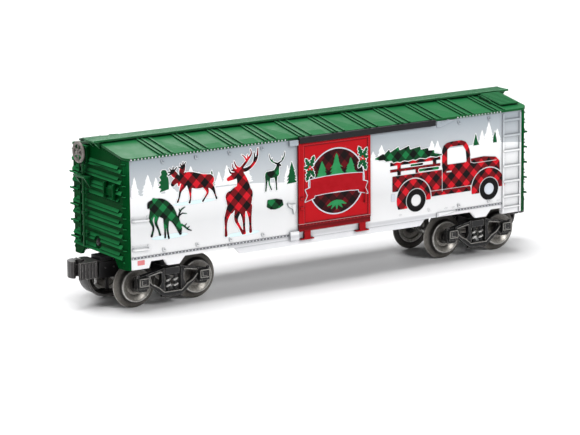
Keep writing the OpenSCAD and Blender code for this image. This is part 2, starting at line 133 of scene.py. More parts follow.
def make_camera():
    data = bpy.data.cameras.new("camera")
    data.lens = CAMERA_LENS
    data.sensor_width = 36
    data.clip_end = 50
    camera = make_object("camera", data)
    turn = (Matrix.Rotation(-CAMERA_YAW, 4, "Z") @ Matrix.Rotation(math.pi / 2 - CAMERA_PITCH, 4, "X")
            @ Matrix.Rotation(CAMERA_ROLL, 4, "Z"))
    camera.matrix_world = Matrix.Translation(CAMERA_AT + BASE * MM) @ turn
    bpy.context.scene.camera = camera


# ---- Materials ----

def linear(r, g, b):
    """Scene colour of a display colour given as 0 to 255."""
    shares = [c / 255 for c in (r, g, b)]
    return (*(((c + 0.055) / 1.055) ** 2.4 if c > 0.04 else c / 12.92 for c in shares), 1)


class Shader:
    """A material being made: nodes are added with add() and joined with link()."""

    def __init__(self, name):
        self.material = bpy.data.materials.new(name)
        self.material.use_nodes = True
        self.tree = self.material.node_tree
        self.bsdf = self.tree.nodes["Principled BSDF"]
        self.place = self.add("ShaderNodeTexCoord").outputs["Object"]

    def add(self, kind, **settings):
        node = self.tree.nodes.new(kind)
        for key, value in settings.items():
            setattr(node, key, value)
        return node

    def link(self, source, target):
        if hasattr(source, "is_linked"):
            self.tree.links.new(source, target)
        else:
            target.default_value = source

    def math(self, operation, a, b=0.0, c=0.0):
        node = self.add("ShaderNodeMath", operation=operation)
        for socket, value in zip(node.inputs, (a, b, c)):
            self.link(value, socket)
        return node.outputs[0]

    def minus(self, a, b):
        return self.math("SUBTRACT", a, b)

    def times(self, a, b):
        return self.math("MULTIPLY", a, b)

    def size(self, a):
        return self.math("ABSOLUTE", a)

    def mix(self, factor, a, b, blend="MIX"):
        node = self.add("ShaderNodeMix", data_type="RGBA", blend_type=blend)
        self.link(factor, node.inputs["Factor"])
        self.link(a, node.inputs[6])
        self.link(b, node.inputs[7])
        return node.outputs[2]

    def ramp(self, value, stops, constant=False):
        node = self.add("ShaderNodeValToRGB")
        node.color_ramp.interpolation = "CONSTANT" if constant else "LINEAR"
        while len(node.color_ramp.elements) < len(stops):
            node.color_ramp.elements.new(1)
        for element, (at, colour) in zip(node.color_ramp.elements, stops):
            element.position = at
            element.color = colour if len(colour) == 4 else tuple(colour) + (1,)
        self.link(value, node.inputs[0])
        return node.outputs[0]

    def tones(self, value, *stops, constant=False):
        """Ramp through display colours, each given as (place, (r, g, b))."""
        return self.ramp(value, [(at, linear(*colour)) for at, colour in stops], constant)

    def clouds(self, noise, colour, low, high):
        """Display colour that wanders between two shares of itself."""
        return self.tones(noise, (0.3, [low * c for c in colour]), (0.7, [high * c for c in colour]))

    def map_range(self, value, low, high, to_low=0.0, to_high=1.0):
        node = self.add("ShaderNodeMapRange")
        for socket, item in zip(node.inputs, (value, low, high, to_low, to_high)):
            self.link(item, socket)
        return node.outputs[0]

    def noise(self, size_mm, detail=3.0, rough=0.5):
        node = self.add("ShaderNodeTexNoise")
        node.inputs["Scale"].default_value = 1 / (size_mm * MM)
        node.inputs["Detail"].default_value = detail
        node.inputs["Roughness"].default_value = rough
        self.link(self.place, node.inputs["Vector"])
        return node.outputs[0]

    def axes(self):
        """X, Y and Z of the shaded point, in millimetres from the base plane."""
        node = self.add("ShaderNodeSeparateXYZ")
        self.link(self.place, node.inputs[0])
        return [self.minus(self.math("DIVIDE", out, MM), low) for out, low in zip(node.outputs, BASE)]

    def side_axes(self):
        """The same, with the first one running to the right as seen from outside either side."""
        x, y, z = self.axes()
        return self.times(x, self.times(self.math("SIGN", y), -1.0)), y, z

    def edges(self, width_mm):
        """1 along sharp edges, 0 on flat faces."""
        bevel = self.add("ShaderNodeBevel", samples=4)
        bevel.inputs["Radius"].default_value = width_mm * MM
        geometry = self.add("ShaderNodeNewGeometry")
        dot = self.add("ShaderNodeVectorMath", operation="DOT_PRODUCT")
        self.link(bevel.outputs[0], dot.inputs[0])
        self.link(geometry.outputs["Normal"], dot.inputs[1])
        return self.map_range(dot.outputs["Value"], 1.0, 0.8)

    def recess(self, reach_mm, full=0.35):
        """1 in corners and gaps, 0 in the open; full is the open share that already counts as 1."""
        node = self.add("ShaderNodeAmbientOcclusion", samples=4)
        node.inputs["Distance"].default_value = reach_mm * MM
        return self.map_range(node.outputs["AO"], 1.0, full)

    def bump(self, height, strength, depth_mm):
        node = self.add("ShaderNodeBump")
        node.inputs["Strength"].default_value = strength
        node.inputs["Distance"].default_value = depth_mm * MM
        self.link(height, node.inputs["Height"])
        self.link(node.outputs[0], self.bsdf.inputs["Normal"])

    def set(self, **values):
        for key, value in values.items():
            self.link(value, self.bsdf.inputs[key.replace("_", " ")])
        return self.material


def moulded(name, base, dark, light, rough, shine=0.3, wear_and_highlight=0.45, recess_shade=0.9, top=None, pattern=None):
    """Moulded plastic: clouded or patterned, painted highlight on tops, edges paler from wear and painted
    highlight, painted shade in recesses, a fine grain.
    """
    s = Shader(name)
    colour = pattern(s) if pattern else s.clouds(s.noise(22, 4), base, 0.93, 1.05)
    # Faces turned upwards take the top colour: a painted highlight where light falls from above.
    if top:
        normal = s.add("ShaderNodeSeparateXYZ")
        s.link(s.add("ShaderNodeNewGeometry").outputs["Normal"], normal.inputs[0])
        colour = s.mix(s.map_range(normal.outputs[2], 0.15, 0.6, 0.0, 0.75), colour, linear(*top))
    # Sharp edges turn paler: partly wear, partly painted highlight.
    colour = s.mix(s.times(s.edges(0.3), wear_and_highlight), colour, linear(*light))
    # Gaps and recesses turn dark: painted shade.
    gaps = s.math("MAXIMUM", s.recess(2.5), s.recess(0.7, 0.62))
    colour = s.mix(s.times(gaps, recess_shade), colour, linear(*dark))
    s.bump(s.noise(0.35, 5, 0.6), 0.25, 0.03)
    roughness = s.map_range(s.noise(6, 5, 0.65), 0.3, 0.7, rough - 0.07, rough + 0.09)
    return s.set(Base_Color=colour, Roughness=roughness, Specular_IOR_Level=shine)


def cast_metal(name, base, dark, light, rough, metallic, grain=0.5, recess_shade=0.6):
    """Die-cast metal: pitted grain, edges paler from wear and painted highlight, painted shade in recesses.
    """
    s = Shader(name)
    mottle = s.noise(3, 6, 0.7)
    colour = s.clouds(mottle, base, 0.86, 1.1)
    # Sharp edges turn paler in patches: partly wear, partly painted highlight.
    wear_and_highlight = s.times(s.edges(0.35), s.map_range(s.noise(1.5, 4), 0.35, 0.65, 0.35, 0.95))
    colour = s.mix(wear_and_highlight, colour, linear(*light))
    # Gaps and recesses turn dark: painted shade.
    gaps = s.math("MAXIMUM", s.recess(2.0), s.recess(0.6, 0.6))
    colour = s.mix(s.times(gaps, recess_shade), colour, linear(*dark))
    s.bump(s.noise(0.3, 4, 0.6), grain, 0.04)
    roughness = s.map_range(mottle, 0.3, 0.7, rough - 0.08, rough + 0.1)
    return s.set(Base_Color=colour, Roughness=roughness, Metallic=metallic, Specular_IOR_Level=0.3)


def turned_wheels():
    """Wheel metal, coloured by distance from the axle: hub, dish, a rim line painted bright as highlight,
    tread and flange.
    """
    s = Shader("wheel_metal")
    x, _, z = s.axes()
    along = s.minus(s.size(s.minus(s.size(x), TRUCK_X)), HALF_BASE)
    up = s.minus(z, AXLE_Z)
    radius = s.math("SQRT", s.math("ADD", s.times(along, along), s.times(up, up)))
    hub, rim_highlight = (48, 47, 46), (206, 204, 200)
    tone = s.tones(
        s.map_range(radius, 0, WHEEL_REACH), (0, hub), (0.24, hub), (0.29, (128, 124, 118)),
        (0.6, (176, 172, 165)), (0.645, rim_highlight), (0.665, rim_highlight), (0.69, (44, 42, 40)),
        (0.74, (88, 85, 81)), (0.91, (112, 108, 102)), (0.95, (190, 187, 182)))
    # The metal is mottled, and painted shade darkens it towards the top, so the dish is brightest low down
    # as a painted reflection of the pale floor.
    spots = s.map_range(s.noise(0.9, 5, 0.7), 0.42, 0.62)
    mottled = s.mix(s.times(spots, 0.45), tone, linear(58, 56, 52))
    high = s.map_range(up, -5.0, 6.0, 0.0, 0.5)
    shaded = s.mix(high, mottled, linear(52, 50, 47))
    # Recesses turn nearly black: painted shade.
    colour = s.mix(s.times(s.recess(1.6), 0.75), shaded, linear(16, 15, 14))
    s.bump(s.noise(0.3, 4, 0.6), 0.3, 0.03)
    roughness = s.map_range(s.noise(3, 6, 0.7), 0.3, 0.7, 0.28, 0.44)
    return s.set(Base_Color=colour, Roughness=roughness, Metallic=0.6)


def sky_and_snow(s):
    """Print on a side: grey sky that pales downwards and a soft line of snow, with painted shade along the
    sill.
    """
    along, y, z = s.side_axes()
    share = s.map_range(along, -HALF_L, HALF_L)
    # Height of the snow line: low behind the door, higher at both ends of the side.
    low, high = 48.0, 62.0
    heights = ((0, 55), (0.3, 53.6), (0.41, 51), (0.44, 51), (0.56, 56), (0.62, 57.4), (0.78, 57.4),
               (0.9, 57.6), (1, 55.4))
    line = s.ramp(share, [(at, ((h - low) / (high - low),) * 3) for at, h in heights])
    snow_line = s.map_range(line, 0.0, 1.0, low, high)
    above = s.map_range(s.minus(z, snow_line), -0.1, 0.1)
    outside = s.math("GREATER_THAN", s.size(y), HALF_W - PRINT_SKIN)
    under_top = s.math("LESS_THAN", z, PRINT_TOP)
    sky = s.tones(s.map_range(z, 52, 73),
                  (0, (196, 200, 203)), (0.55, (176, 182, 187)), (1, (146, 156, 164)))
    snow = s.tones(s.map_range(z, 22, 56),
                   (0, (232, 232, 233)), (0.5, (218, 219, 220)), (1, (240, 241, 242)))
    picture = s.mix(s.times(above, s.times(outside, under_top)), snow, sky)
    # Grey band along the sill between the trucks: painted shade.
    sill = s.tones(s.map_range(z, 22.6, SILL_TOP), (0, (226, 227, 230)), (0.55, (186, 187, 191)),
                   (0.8, (196, 197, 200)), (1, (232, 233, 235)))
    on_sill = s.times(s.math("LESS_THAN", z, SILL_TOP), s.math("LESS_THAN", s.size(along), SILL_HALF_L))
    return s.mix(s.times(on_sill, 0.8), picture, sill)


def door_panel(s):
    """Door red, with painted shade as a dark line round the sunken panel, painted highlight as a paler line
    outside it, and painted shade on the lower border.
    """
    along, _, z = s.side_axes()
    left, right = DOOR_LOW.x + PANEL_LEFT, DOOR_HIGH.x - PANEL_RIGHT
    past_x = s.minus(s.size(s.minus(along, (left + right) / 2)), (right - left) / 2)
    past_z = s.minus(s.size(s.minus(z, (PANEL_LOW + PANEL_TOP) / 2)), (PANEL_TOP - PANEL_LOW) / 2)
    edge = s.map_range(s.math("MAXIMUM", past_x, past_z), -1.0, 1.0)
    # Painted shade just inside the panel's edge, painted highlight just outside it.
    line = s.tones(edge, (0.1, (178, 4, 18)), (0.4, (112, 0, 8)), (0.52, (122, 0, 9)), (0.6, (206, 36, 46)),
                   (0.8, (168, 2, 15)))
    # Lower border: painted shade, paling towards a painted highlight at the panel's lower edge.
    border = s.tones(s.map_range(z, 26, 31), (0, (150, 2, 13)), (0.45, (96, 0, 7)), (0.8, (112, 0, 8)),
                     (0.9, (255, 255, 255)))
    return s.mix(s.math("GREATER_THAN", z, PANEL_LOW), border, line)


def ink_surface(s, colour):
    """Thin satin ink with a fine grain."""
    s.bump(s.noise(0.4, 4), 0.15, 0.02)
    roughness = s.map_range(s.noise(5), 0.3, 0.7, 0.36, 0.52)
    return s.set(Base_Color=colour, Roughness=roughness, Specular_IOR_Level=0.1)


def plaid(name, bright, middle, black):
    """Two crossed sets of diagonal bands, with a fine twill over them."""
    s = Shader(name)
    x, _, z = s.axes()

    def band(slope, phase):
        across = s.math("DIVIDE", s.math("MULTIPLY_ADD", z, slope, x), PLAID_PITCH * math.sqrt(2))
        return s.math("LESS_THAN", s.math("FRACT", s.math("ADD", across, phase)), PLAID_BAND)

    crossed = s.math("DIVIDE", s.math("ADD", band(1.0, 0.12), band(-1.0, 0.4)), 2.0)
    colour = s.tones(crossed, (0, bright), (0.3, middle), (0.8, black), constant=True)
    twill = s.math("FRACT", s.math("DIVIDE", s.math("ADD", x, z), 0.7))
    shade = s.ramp(twill, [(0, (0.86, 0.86, 0.86)), (0.5, (1, 1, 1)), (1, (0.86, 0.86, 0.86))])
    return ink_surface(s, s.mix(1.0, colour, shade, "MULTIPLY"))


def printed(name, colour, spread=8):
    """One flat ink, slightly uneven."""
    s = Shader(name)
    lower = [max(0, c - spread) for c in colour]
    return ink_surface(s, s.tones(s.noise(4, 4), (0.35, lower), (0.65, colour)))


# In every finish the light colour on edges stands for wear and painted highlight, and the dark colour is
# painted shade in recesses; a moulded top colour is a painted highlight on upward faces.
MATERIALS = {
    "green": moulded("green_plastic", (0, 78, 34), (0, 44, 18), (104, 172, 130), 0.36, shine=0.16,
                     recess_shade=0.92, top=(38, 116, 68)),
    # End walls: the same green plastic made darker as painted shade, with a painted highlight on upward rib
    # slopes.
    "green_end": moulded("green_end_wall", (0, 66, 26), (0, 34, 12), (60, 150, 96), 0.5, shine=0.02,
                         recess_shade=0.95, top=(52, 156, 92)),
    # Running board: the green made lighter, with a pale top and pale edges, as painted highlight.
    "green_board": moulded("green_board", (8, 88, 42), (0, 34, 14), (150, 206, 168), 0.4, shine=0.2, wear_and_highlight=0.8,
                           top=(62, 142, 94)),
    "side": moulded("side_print", None, (112, 116, 122), (250, 250, 252), 0.4, recess_shade=0.8,
                    pattern=sky_and_snow),
    # Rivets: the side's white made greyer, with near-black recesses, as painted shade.
    "trim": moulded("side_trim", (216, 218, 222), (18, 20, 24), (252, 252, 253), 0.38, recess_shade=1.0),
    # Strips under the rivets: grey as painted shade.
    "strip_shade": moulded("side_strip_shade", (112, 114, 118), (18, 20, 24), (200, 201, 204), 0.45, recess_shade=1.0),
    "red": moulded("red_plastic", (174, 2, 16), (66, 0, 4), (220, 74, 80), 0.36, shine=0.12),
    "door": moulded("red_door_panel", None, (66, 0, 4), (220, 74, 80), 0.36, shine=0.12,
                    pattern=door_panel),
    "black": moulded("black_plastic", (26, 26, 28), (6, 6, 7), (96, 96, 98), 0.42, shine=0.2, recess_shade=0.8),
    "frame": moulded("underframe_paint", (32, 32, 34), (8, 8, 9), (84, 84, 86), 0.5, shine=0.2, recess_shade=0.8),
    "casting": cast_metal("truck_casting", (32, 32, 33), (2, 2, 3), (170, 168, 164), 0.36, 0.2, recess_shade=0.97),
    # Lips of the sideframes: the casting made pale as painted highlight.
    "bright_casting": cast_metal("highlight_casting", (120, 118, 114), (30, 29, 28), (206, 204, 198), 0.34,
                                 0.4),
    "coupler": cast_metal("coupler_metal", (62, 60, 60), (7, 7, 8), (176, 172, 168), 0.36, 0.3, recess_shade=0.9),
    "drawbar": cast_metal("drawbar_paint", (26, 25, 26), (4, 4, 5), (84, 84, 86), 0.45, 0.1, recess_shade=0.9),
    "wheel": turned_wheels(),
    "steel": cast_metal("bright_steel", (196, 195, 192), (44, 44, 44), (240, 240, 238), 0.26, 0.9, grain=0.2,
                        recess_shade=0.7),
    "grey": cast_metal("brake_grey", (134, 127, 123), (62, 58, 56), (196, 190, 186), 0.45, 0.1, grain=0.3),
    "red_plaid": plaid("red_plaid_ink", (208, 22, 36), (112, 13, 21), (16, 11, 12)),
    "green_plaid": plaid("green_plaid_ink", (24, 118, 64), (8, 62, 32), (6, 14, 9)),
    "dark_plaid": plaid("dark_plaid_ink", (96, 12, 20), (50, 8, 13), (20, 9, 10)),
    "white_ink": printed("white_ink", (244, 245, 246), 5),
    "tree_ink": printed("tree_green_ink", (12, 84, 46)),
    "ice_ink": printed("pale_blue_ink", (218, 237, 240), 4),
    "black_ink": printed("black_ink", (17, 16, 17)),
    "hub_ink": printed("hub_grey_ink", (206, 212, 220)),
    "leaf_ink": printed("leaf_green_ink", (46, 140, 84)),
    "ribbon_ink": printed("ribbon_red_ink", (166, 12, 26)),
    "berry_ink": printed("berry_red_ink", (206, 24, 38)),
    "pink_ink": printed("pale_patch_ink", (222, 134, 136), 4),
}
# Slot that a fitting's material belongs to.
SLOTS = {
    "side": "side_print", "trim": "side_print", "strip_shade": "side_print", "green": "green_shell",
    "green_end": "green_shell", "green_board": "green_shell", "red": "red_door", "frame": "black_plastic",
    "grey": "grey_metal", "casting": "truck_casting", "bright_casting": "truck_casting",
    "coupler": "coupler_metal", "steel": "steel",
}


# ---- Meshes ----

SHARP_ANGLE = math.radians(40)
BEVEL_ANGLE = math.radians(35)
FLAT_ANGLE = math.radians(4)


def to_mesh(bm, name):
    """Mesh in metres from the origin, of shapes drawn in millimetres from the base plane."""
    bmesh.ops.translate(bm, vec=BASE, verts=bm.verts[:])
    bmesh.ops.scale(bm, vec=(MM, MM, MM), verts=bm.verts[:])
    mesh = bpy.data.meshes.new(name)
    bm.to_mesh(mesh)
    bm.free()
    return mesh


def new_verts(result):
    """The vertices that a bmesh operator made."""
    return [g for g in result["geom"] if isinstance(g, bmesh.types.BMVert)]


class Solid:
    """Closed shapes, in millimetres, joined into one object."""

    def __init__(self):
        self.bm = bmesh.new()

    def face_out(self, faces):
        bmesh.ops.recalc_face_normals(self.bm, faces=faces)

    def box(self, low, high):
        mid = [(a + b) / 2 for a, b in zip(low, high)]
        size = [b - a for a, b in zip(low, high)]
        place = Matrix.Translation(mid) @ Matrix.Diagonal(size + [1])
        bmesh.ops.create_cube(self.bm, size=1, matrix=place)

    def prism(self, outline, move):
        """Outline of points, made solid along the vector move."""
        front = [self.bm.verts.new(p) for p in outline]
        back = [self.bm.verts.new(Vector(p) + Vector(move)) for p in outline]
        faces = [self.bm.faces.new(front), self.bm.faces.new(back[::-1])]
        count = len(outline)
        for i in range(count):
            j = (i + 1) % count
            faces.append(self.bm.faces.new((front[j], front[i], back[i], back[j])))
        self.face_out(faces)

    def lathe(self, profile, at, axis, sides=24):
        """Profile of (radius, height) from one end of the axis to the other, turned about it."""
        turn = Vector((0, 0, 1)).rotation_difference(Vector(axis)).to_matrix()
        rings = []
        for radius, height in profile:
            angles = [2 * math.pi * k / sides for k in range(sides if radius else 1)]
            points = [(radius * math.cos(a), radius * math.sin(a), height) for a in angles]
            rings.append([self.bm.verts.new(turn @ Vector(p) + Vector(at)) for p in points])
        faces = []
        for low, high in zip(rings, rings[1:]):
            for k in range(sides):
                n = (k + 1) % sides
                corners = [low[k % len(low)], low[n % len(low)], high[n % len(high)], high[k % len(high)]]
                unique = list(dict.fromkeys(corners))
                if len(unique) > 2:
                    faces.append(self.bm.faces.new(unique))
        for ring in (rings[0], rings[-1]):
            if len(ring) > 1:
                faces.append(self.bm.faces.new(ring))
        self.face_out(faces)

    def dome(self, at, axis, radius, height, sides=10):
        """Rivet head, sunk a little in the face it sits on."""
        steps = 3
        profile = [(radius, -0.15), (radius, 0)]
        profile += [(radius * math.cos(math.pi / 2 * k / steps), height * math.sin(math.pi / 2 * k / steps))
                    for k in range(1, steps)]
        self.lathe(profile + [(0, height)], at, axis, sides)

    def rivets(self, places, axis, radius, height, sides=8):
        for at in places:
            self.dome(at, axis, radius, height, sides)

    def tube(self, points, radius, sides=8):
        """Round bar along points, closed at both ends."""
        points = [Vector(p) for p in points]
        side = Vector((0.3, 0.5, 0.8))
        rings = []
        for i, p in enumerate(points):
            ahead = (points[min(i + 1, len(points) - 1)] - points[max(i - 1, 0)]).normalized()
            u = (side - ahead * side.dot(ahead)).normalized()
            v = ahead.cross(u)
            side = u
            rings.append([self.bm.verts.new(p + radius * (math.cos(a) * u + math.sin(a) * v))
                          for a in (2 * math.pi * k / sides for k in range(sides))])
        faces = [self.bm.faces.new(rings[0][::-1]), self.bm.faces.new(rings[-1])]
        for low, high in zip(rings, rings[1:]):
            for k in range(sides):
                n = (k + 1) % sides
                faces.append(self.bm.faces.new((low[k], low[n], high[n], high[k])))
        self.face_out(faces)

    def turned(self):
        """Adds the same shapes turned half round the car's upright axis."""
        copies = bmesh.ops.duplicate(self.bm, geom=self.bm.verts[:] + self.bm.edges[:] + self.bm.faces[:])
        half_turn = Matrix.Rotation(math.pi, 3, "Z")
        bmesh.ops.rotate(self.bm, cent=(0, 0, 0), matrix=half_turn, verts=new_verts(copies))

    def move(self, matrix):
        bmesh.ops.transform(self.bm, matrix=matrix, verts=self.bm.verts[:])

    def finish(self, name, material, bevel=0.0, body="car_body", slot=None):
        place(to_mesh(self.bm, name), name, material, body, slot or SLOTS[material], bevel)


def place(mesh, name, material, body, slot, bevel=0.0, turn=0.0):
    """Object of a mesh, riding on a body, with rounded edges and its finish."""
    if not mesh.materials:
        mesh.materials.append(MATERIALS[material])
    obj = make_object(name, mesh)
    obj.matrix_world = Matrix.Rotation(turn, 4, "Z")
    mesh.shade_smooth()
    mesh.set_sharp_from_angle(angle=SHARP_ANGLE)
    if bevel:
        round_edges(obj, bevel)
    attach(obj, body)


def round_edges(obj, width_mm):
    modifier = obj.modifiers.new("rounded", "BEVEL")
    modifier.width = width_mm * MM
    modifier.segments = 2
    modifier.limit_method = "ANGLE"
    modifier.angle_limit = BEVEL_ANGLE
    modifier.harden_normals = True


# ---- Printed shapes ----

# Pitch of the grid, depth of a print in its face, height of a layer, and width of a white outline.
INK_STEP = 0.25
INK_BACK = 0.03
INK_LAYER = 0.04
OUTLINE = 0.3
FAR_OFF = 99.0


class Ink:
    """Flat printed shape on a grid of signed distances in X and Z: negative inside."""

    def __init__(self, x0, z0, x1, z1):
        self.xs = np.arange(x0, x1 + INK_STEP / 2, INK_STEP)
        self.zs = np.arange(z0, z1 + INK_STEP / 2, INK_STEP)
        self.x, self.z = np.meshgrid(self.xs, self.zs, indexing="ij")
        self.field = self.empty()

    def empty(self):
        return np.full(self.x.shape, FAR_OFF)

    def circle(self, x, z, radius):
        return np.hypot(self.x - x, self.z - z) - radius

    def nearest(self, x0, z0, x1, z1):
        """Share of a straight line up to its point nearest to each grid point, and the distance to that."""
        dx, dz = x1 - x0, z1 - z0
        share = np.clip(((self.x - x0) * dx + (self.z - z0) * dz) / (dx * dx + dz * dz), 0, 1)
        return share, np.hypot(self.x - x0 - share * dx, self.z - z0 - share * dz)

    def stroke(self, *points):
        """Rounded line through points (x, z, radius)."""
        field = self.empty()
        for (x0, z0, r0), (x1, z1, r1) in zip(points, points[1:]):
            share, distance = self.nearest(x0, z0, x1, z1)
            field = np.minimum(field, distance - r0 - share * (r1 - r0))
        return field

    def limbs(self, *runs):
        """Adds rounded lines, smooth through runs of three or more points (x, z, radius), else straight."""
        return self.add(*(self.stroke(*(curve(run) if len(run) > 2 else run)) for run in runs))

    def polygon(self, *points, grow=0.0):
        """Area inside an outline of points (x, z), made wider by grow."""
        field = self.empty()
        inside = np.zeros(self.x.shape, bool)
        for (x0, z0), (x1, z1) in zip(points, points[1:] + points[:1]):
            field = np.minimum(field, self.nearest(x0, z0, x1, z1)[1])
            if z0 != z1:
                crosses = (z0 > self.z) != (z1 > self.z)
                inside ^= crosses & (self.x < x0 + (self.z - z0) * (x1 - x0) / (z1 - z0))
        return np.where(inside, -field, field) - grow

    def add(self, *shapes):
        for shape in shapes:
            self.field = np.minimum(self.field, shape)
        return self

    def cut(self, *shapes):
        for shape in shapes:
            self.field = np.maximum(self.field, -shape)
        return self

    def grown(self, width):
        """A copy of the shape, wider all round."""
        wide = Ink(self.xs[0], self.zs[0], self.xs[-1], self.zs[-1])
        wide.field = self.field[:wide.x.shape[0], :wide.x.shape[1]] - width
        return wide

    def mesh(self, name, face_y, layer):
        """Closed thin sheet of the shape, its front just proud of a face at -Y and of lower layers."""
        bm = bmesh.new()
        front, back = face_y - INK_LAYER * layer, face_y + INK_BACK
        inside = self.field < 0
        corner, crossing = {}, {}

        def at_corner(i, j):
            if (i, j) not in corner:
                corner[i, j] = bm.verts.new((self.xs[i], front, self.zs[j]))
            return corner[i, j]

        def at_crossing(a, b):
            key = (min(a, b), max(a, b))
            if key not in crossing:
                fa, fb = self.field[key[0]], self.field[key[1]]
                t = min(max(fa / (fa - fb), 0.05), 0.95)
                (i, j), (k, l) = key
                crossing[key] = bm.verts.new((self.xs[i] + t * (self.xs[k] - self.xs[i]), front,
                                              self.zs[j] + t * (self.zs[l] - self.zs[j])))
            return crossing[key]

        touched = inside[:-1, :-1] | inside[1:, :-1] | inside[:-1, 1:] | inside[1:, 1:]
        for i, j in zip(*np.nonzero(touched)):
            ring = []
            corners = [(i, j), (i + 1, j), (i + 1, j + 1), (i, j + 1)]
            for a, b in zip(corners, corners[1:] + corners[:1]):
                if inside[a]:
                    ring.append(at_corner(*a))
                if inside[a] != inside[b]:
                    ring.append(at_crossing(a, b))
            bm.faces.new(ring)
        bm.normal_update()
        bmesh.ops.dissolve_limit(bm, angle_limit=FLAT_ANGLE, verts=bm.verts[:], edges=bm.edges[:])
        bmesh.ops.triangulate(bm, faces=bm.faces[:])
        extra = bmesh.ops.extrude_face_region(bm, geom=bm.faces[:], use_keep_orig=True)
        for vert in new_verts(extra):
            vert.co.y = back
        bmesh.ops.recalc_face_normals(bm, faces=bm.faces[:])
        return to_mesh(bm, name)


def curve(points, steps=5):
    """Smooth run of points through the given ones."""
    points = [np.array(p, float) for p in points]
    ends = [2 * points[0] - points[1]] + points + [2 * points[-1] - points[-2]]
    run = []
    for a, b, c, d in zip(ends, ends[1:], ends[2:], ends[3:]):
        for k in range(steps):
            t = k / steps
            run.append(0.5 * (2 * b + (c - a) * t + (2 * a - 5 * b + 4 * c - d) * t ** 2
                              + (3 * b - a - 3 * c + d) * t ** 3))
    return run + [points[-1]]


def print_pair(mesh, name, material, bodies, slot):
    """The same print on both sides of the car, the far one turned half round."""
    for side, body, turn in zip(("near_", "far_"), bodies, (0.0, math.pi)):
        place(mesh, side + name, material, body, slot, turn=turn)


def print_side(ink, name, material, layer=1):
    print_pair(ink.mesh(name, -HALF_W, layer), name, material, ("car_body", "car_body"), "side_print")


def print_doors(ink, name, material, layer=1):
    print_pair(ink.mesh(name, DOOR_FACE, layer), name, material, ("near_door", "far_door"), "red_door")


def print_outlined(ink, name, material, layer=4, outline_layer=3):
    """Print on the sides over a thin white outline of itself."""
    print_side(ink.grown(OUTLINE), name + "_outline", "white_ink", outline_layer)
    print_side(ink, name, material, layer)


# ---- The winter picture on the sides ----

def conifer(ink, x, base, top, half_w, tiers):
    """Fir tree: tiers of boughs that widen downwards, each ending in a ragged, drooping tip."""
    tier = (top - base) / tiers
    sides = {-1: [], 1: []}
    for k in range(tiers):
        for side, points in sides.items():
            reach = side * half_w * ((k + 1) / tiers) ** 0.9 * random.uniform(0.74, 1.14)
            z = top - tier * (k + 1 + random.uniform(-0.16, 0.16))
            points += [(x + reach, z), (x + reach * random.uniform(0.42, 0.62), z + 0.32 * tier)]
    ink.add(ink.polygon(*([(x, top)] + sides[-1][:-1] + sides[1][:-1][::-1]), grow=0.1))


def white_trees():
    ink = Ink(-114.6, 50, 103, 69.5)
    for x, top, half_w in ((-112.8, 64.2, 3.4), (-105.5, 64.6, 4), (-101.2, 62.8, 3), (-93.5, 58.5, 3.4),
                           (-82, 66, 4.4), (-77.5, 62.8, 3.4), (-72.5, 60, 3), (-66.5, 61.6, 3),
                           (-62, 64.2, 3.6), (-51, 62.4, 4), (-57, 60, 4), (-27.6, 60.2, 2.6),
                           (22.5, 61.2, 2.4), (27.5, 63.8, 3.4), (58, 62.6, 3), (61.5, 62.2, 2.4),
                           (89, 64.6, 2.8), (93.2, 68.2, 4.4), (98.4, 64.2, 3)):
        base = 51.2 if -30 < x < -20 else 54.6 if x < 0 else 56.8
        conifer(ink, x, base, top, half_w, 7)
    print_side(ink, "snowy_trees", "white_ink")


def green_trees():
    ink = Ink(-101, 50.5, 100, 67)
    for x, base, top, half_w in ((-70.4, 54, 62.6, 2.2), (-25.2, 51, 61.6, 3.4), (85, 57.2, 63, 2),
                                 (97, 57.4, 63, 1.7)):
        conifer(ink, x, base, top, half_w, 7)
    # Blunt tree with its boughs to the left.
    ink.add(ink.polygon((-97.4, 65.9), (-95.8, 65.7), (-94.7, 63.8), (-94.2, 60), (-94.2, 56.4), (-96, 56.1),
                        (-99.2, 55.4), (-98.2, 57), (-99.8, 57.8), (-98.4, 59), (-99.7, 60), (-98.2, 61.2),
                        (-99.2, 62.6), (-97.9, 63.8), (-98.4, 65), grow=0.1))
    print_outlined(ink, "green_trees", "tree_ink", 2, 1.5)


def ground_shadows():
    ink = Ink(-106, 27, -40, 50)
    for x0, x1, z, half_h in ((-92, -68, 48.4, 0.9), (-104, -84, 33.6, 1.2), (-63, -44, 29.6, 1.1)):
        middle = (x0 + x1) / 2
        flat = np.hypot((ink.x - middle) / (x1 - x0) * 2, (ink.z - z) / half_h) - 1
        ink.add(flat * half_h)
    print_side(ink, "ground_shadows", "ice_ink")


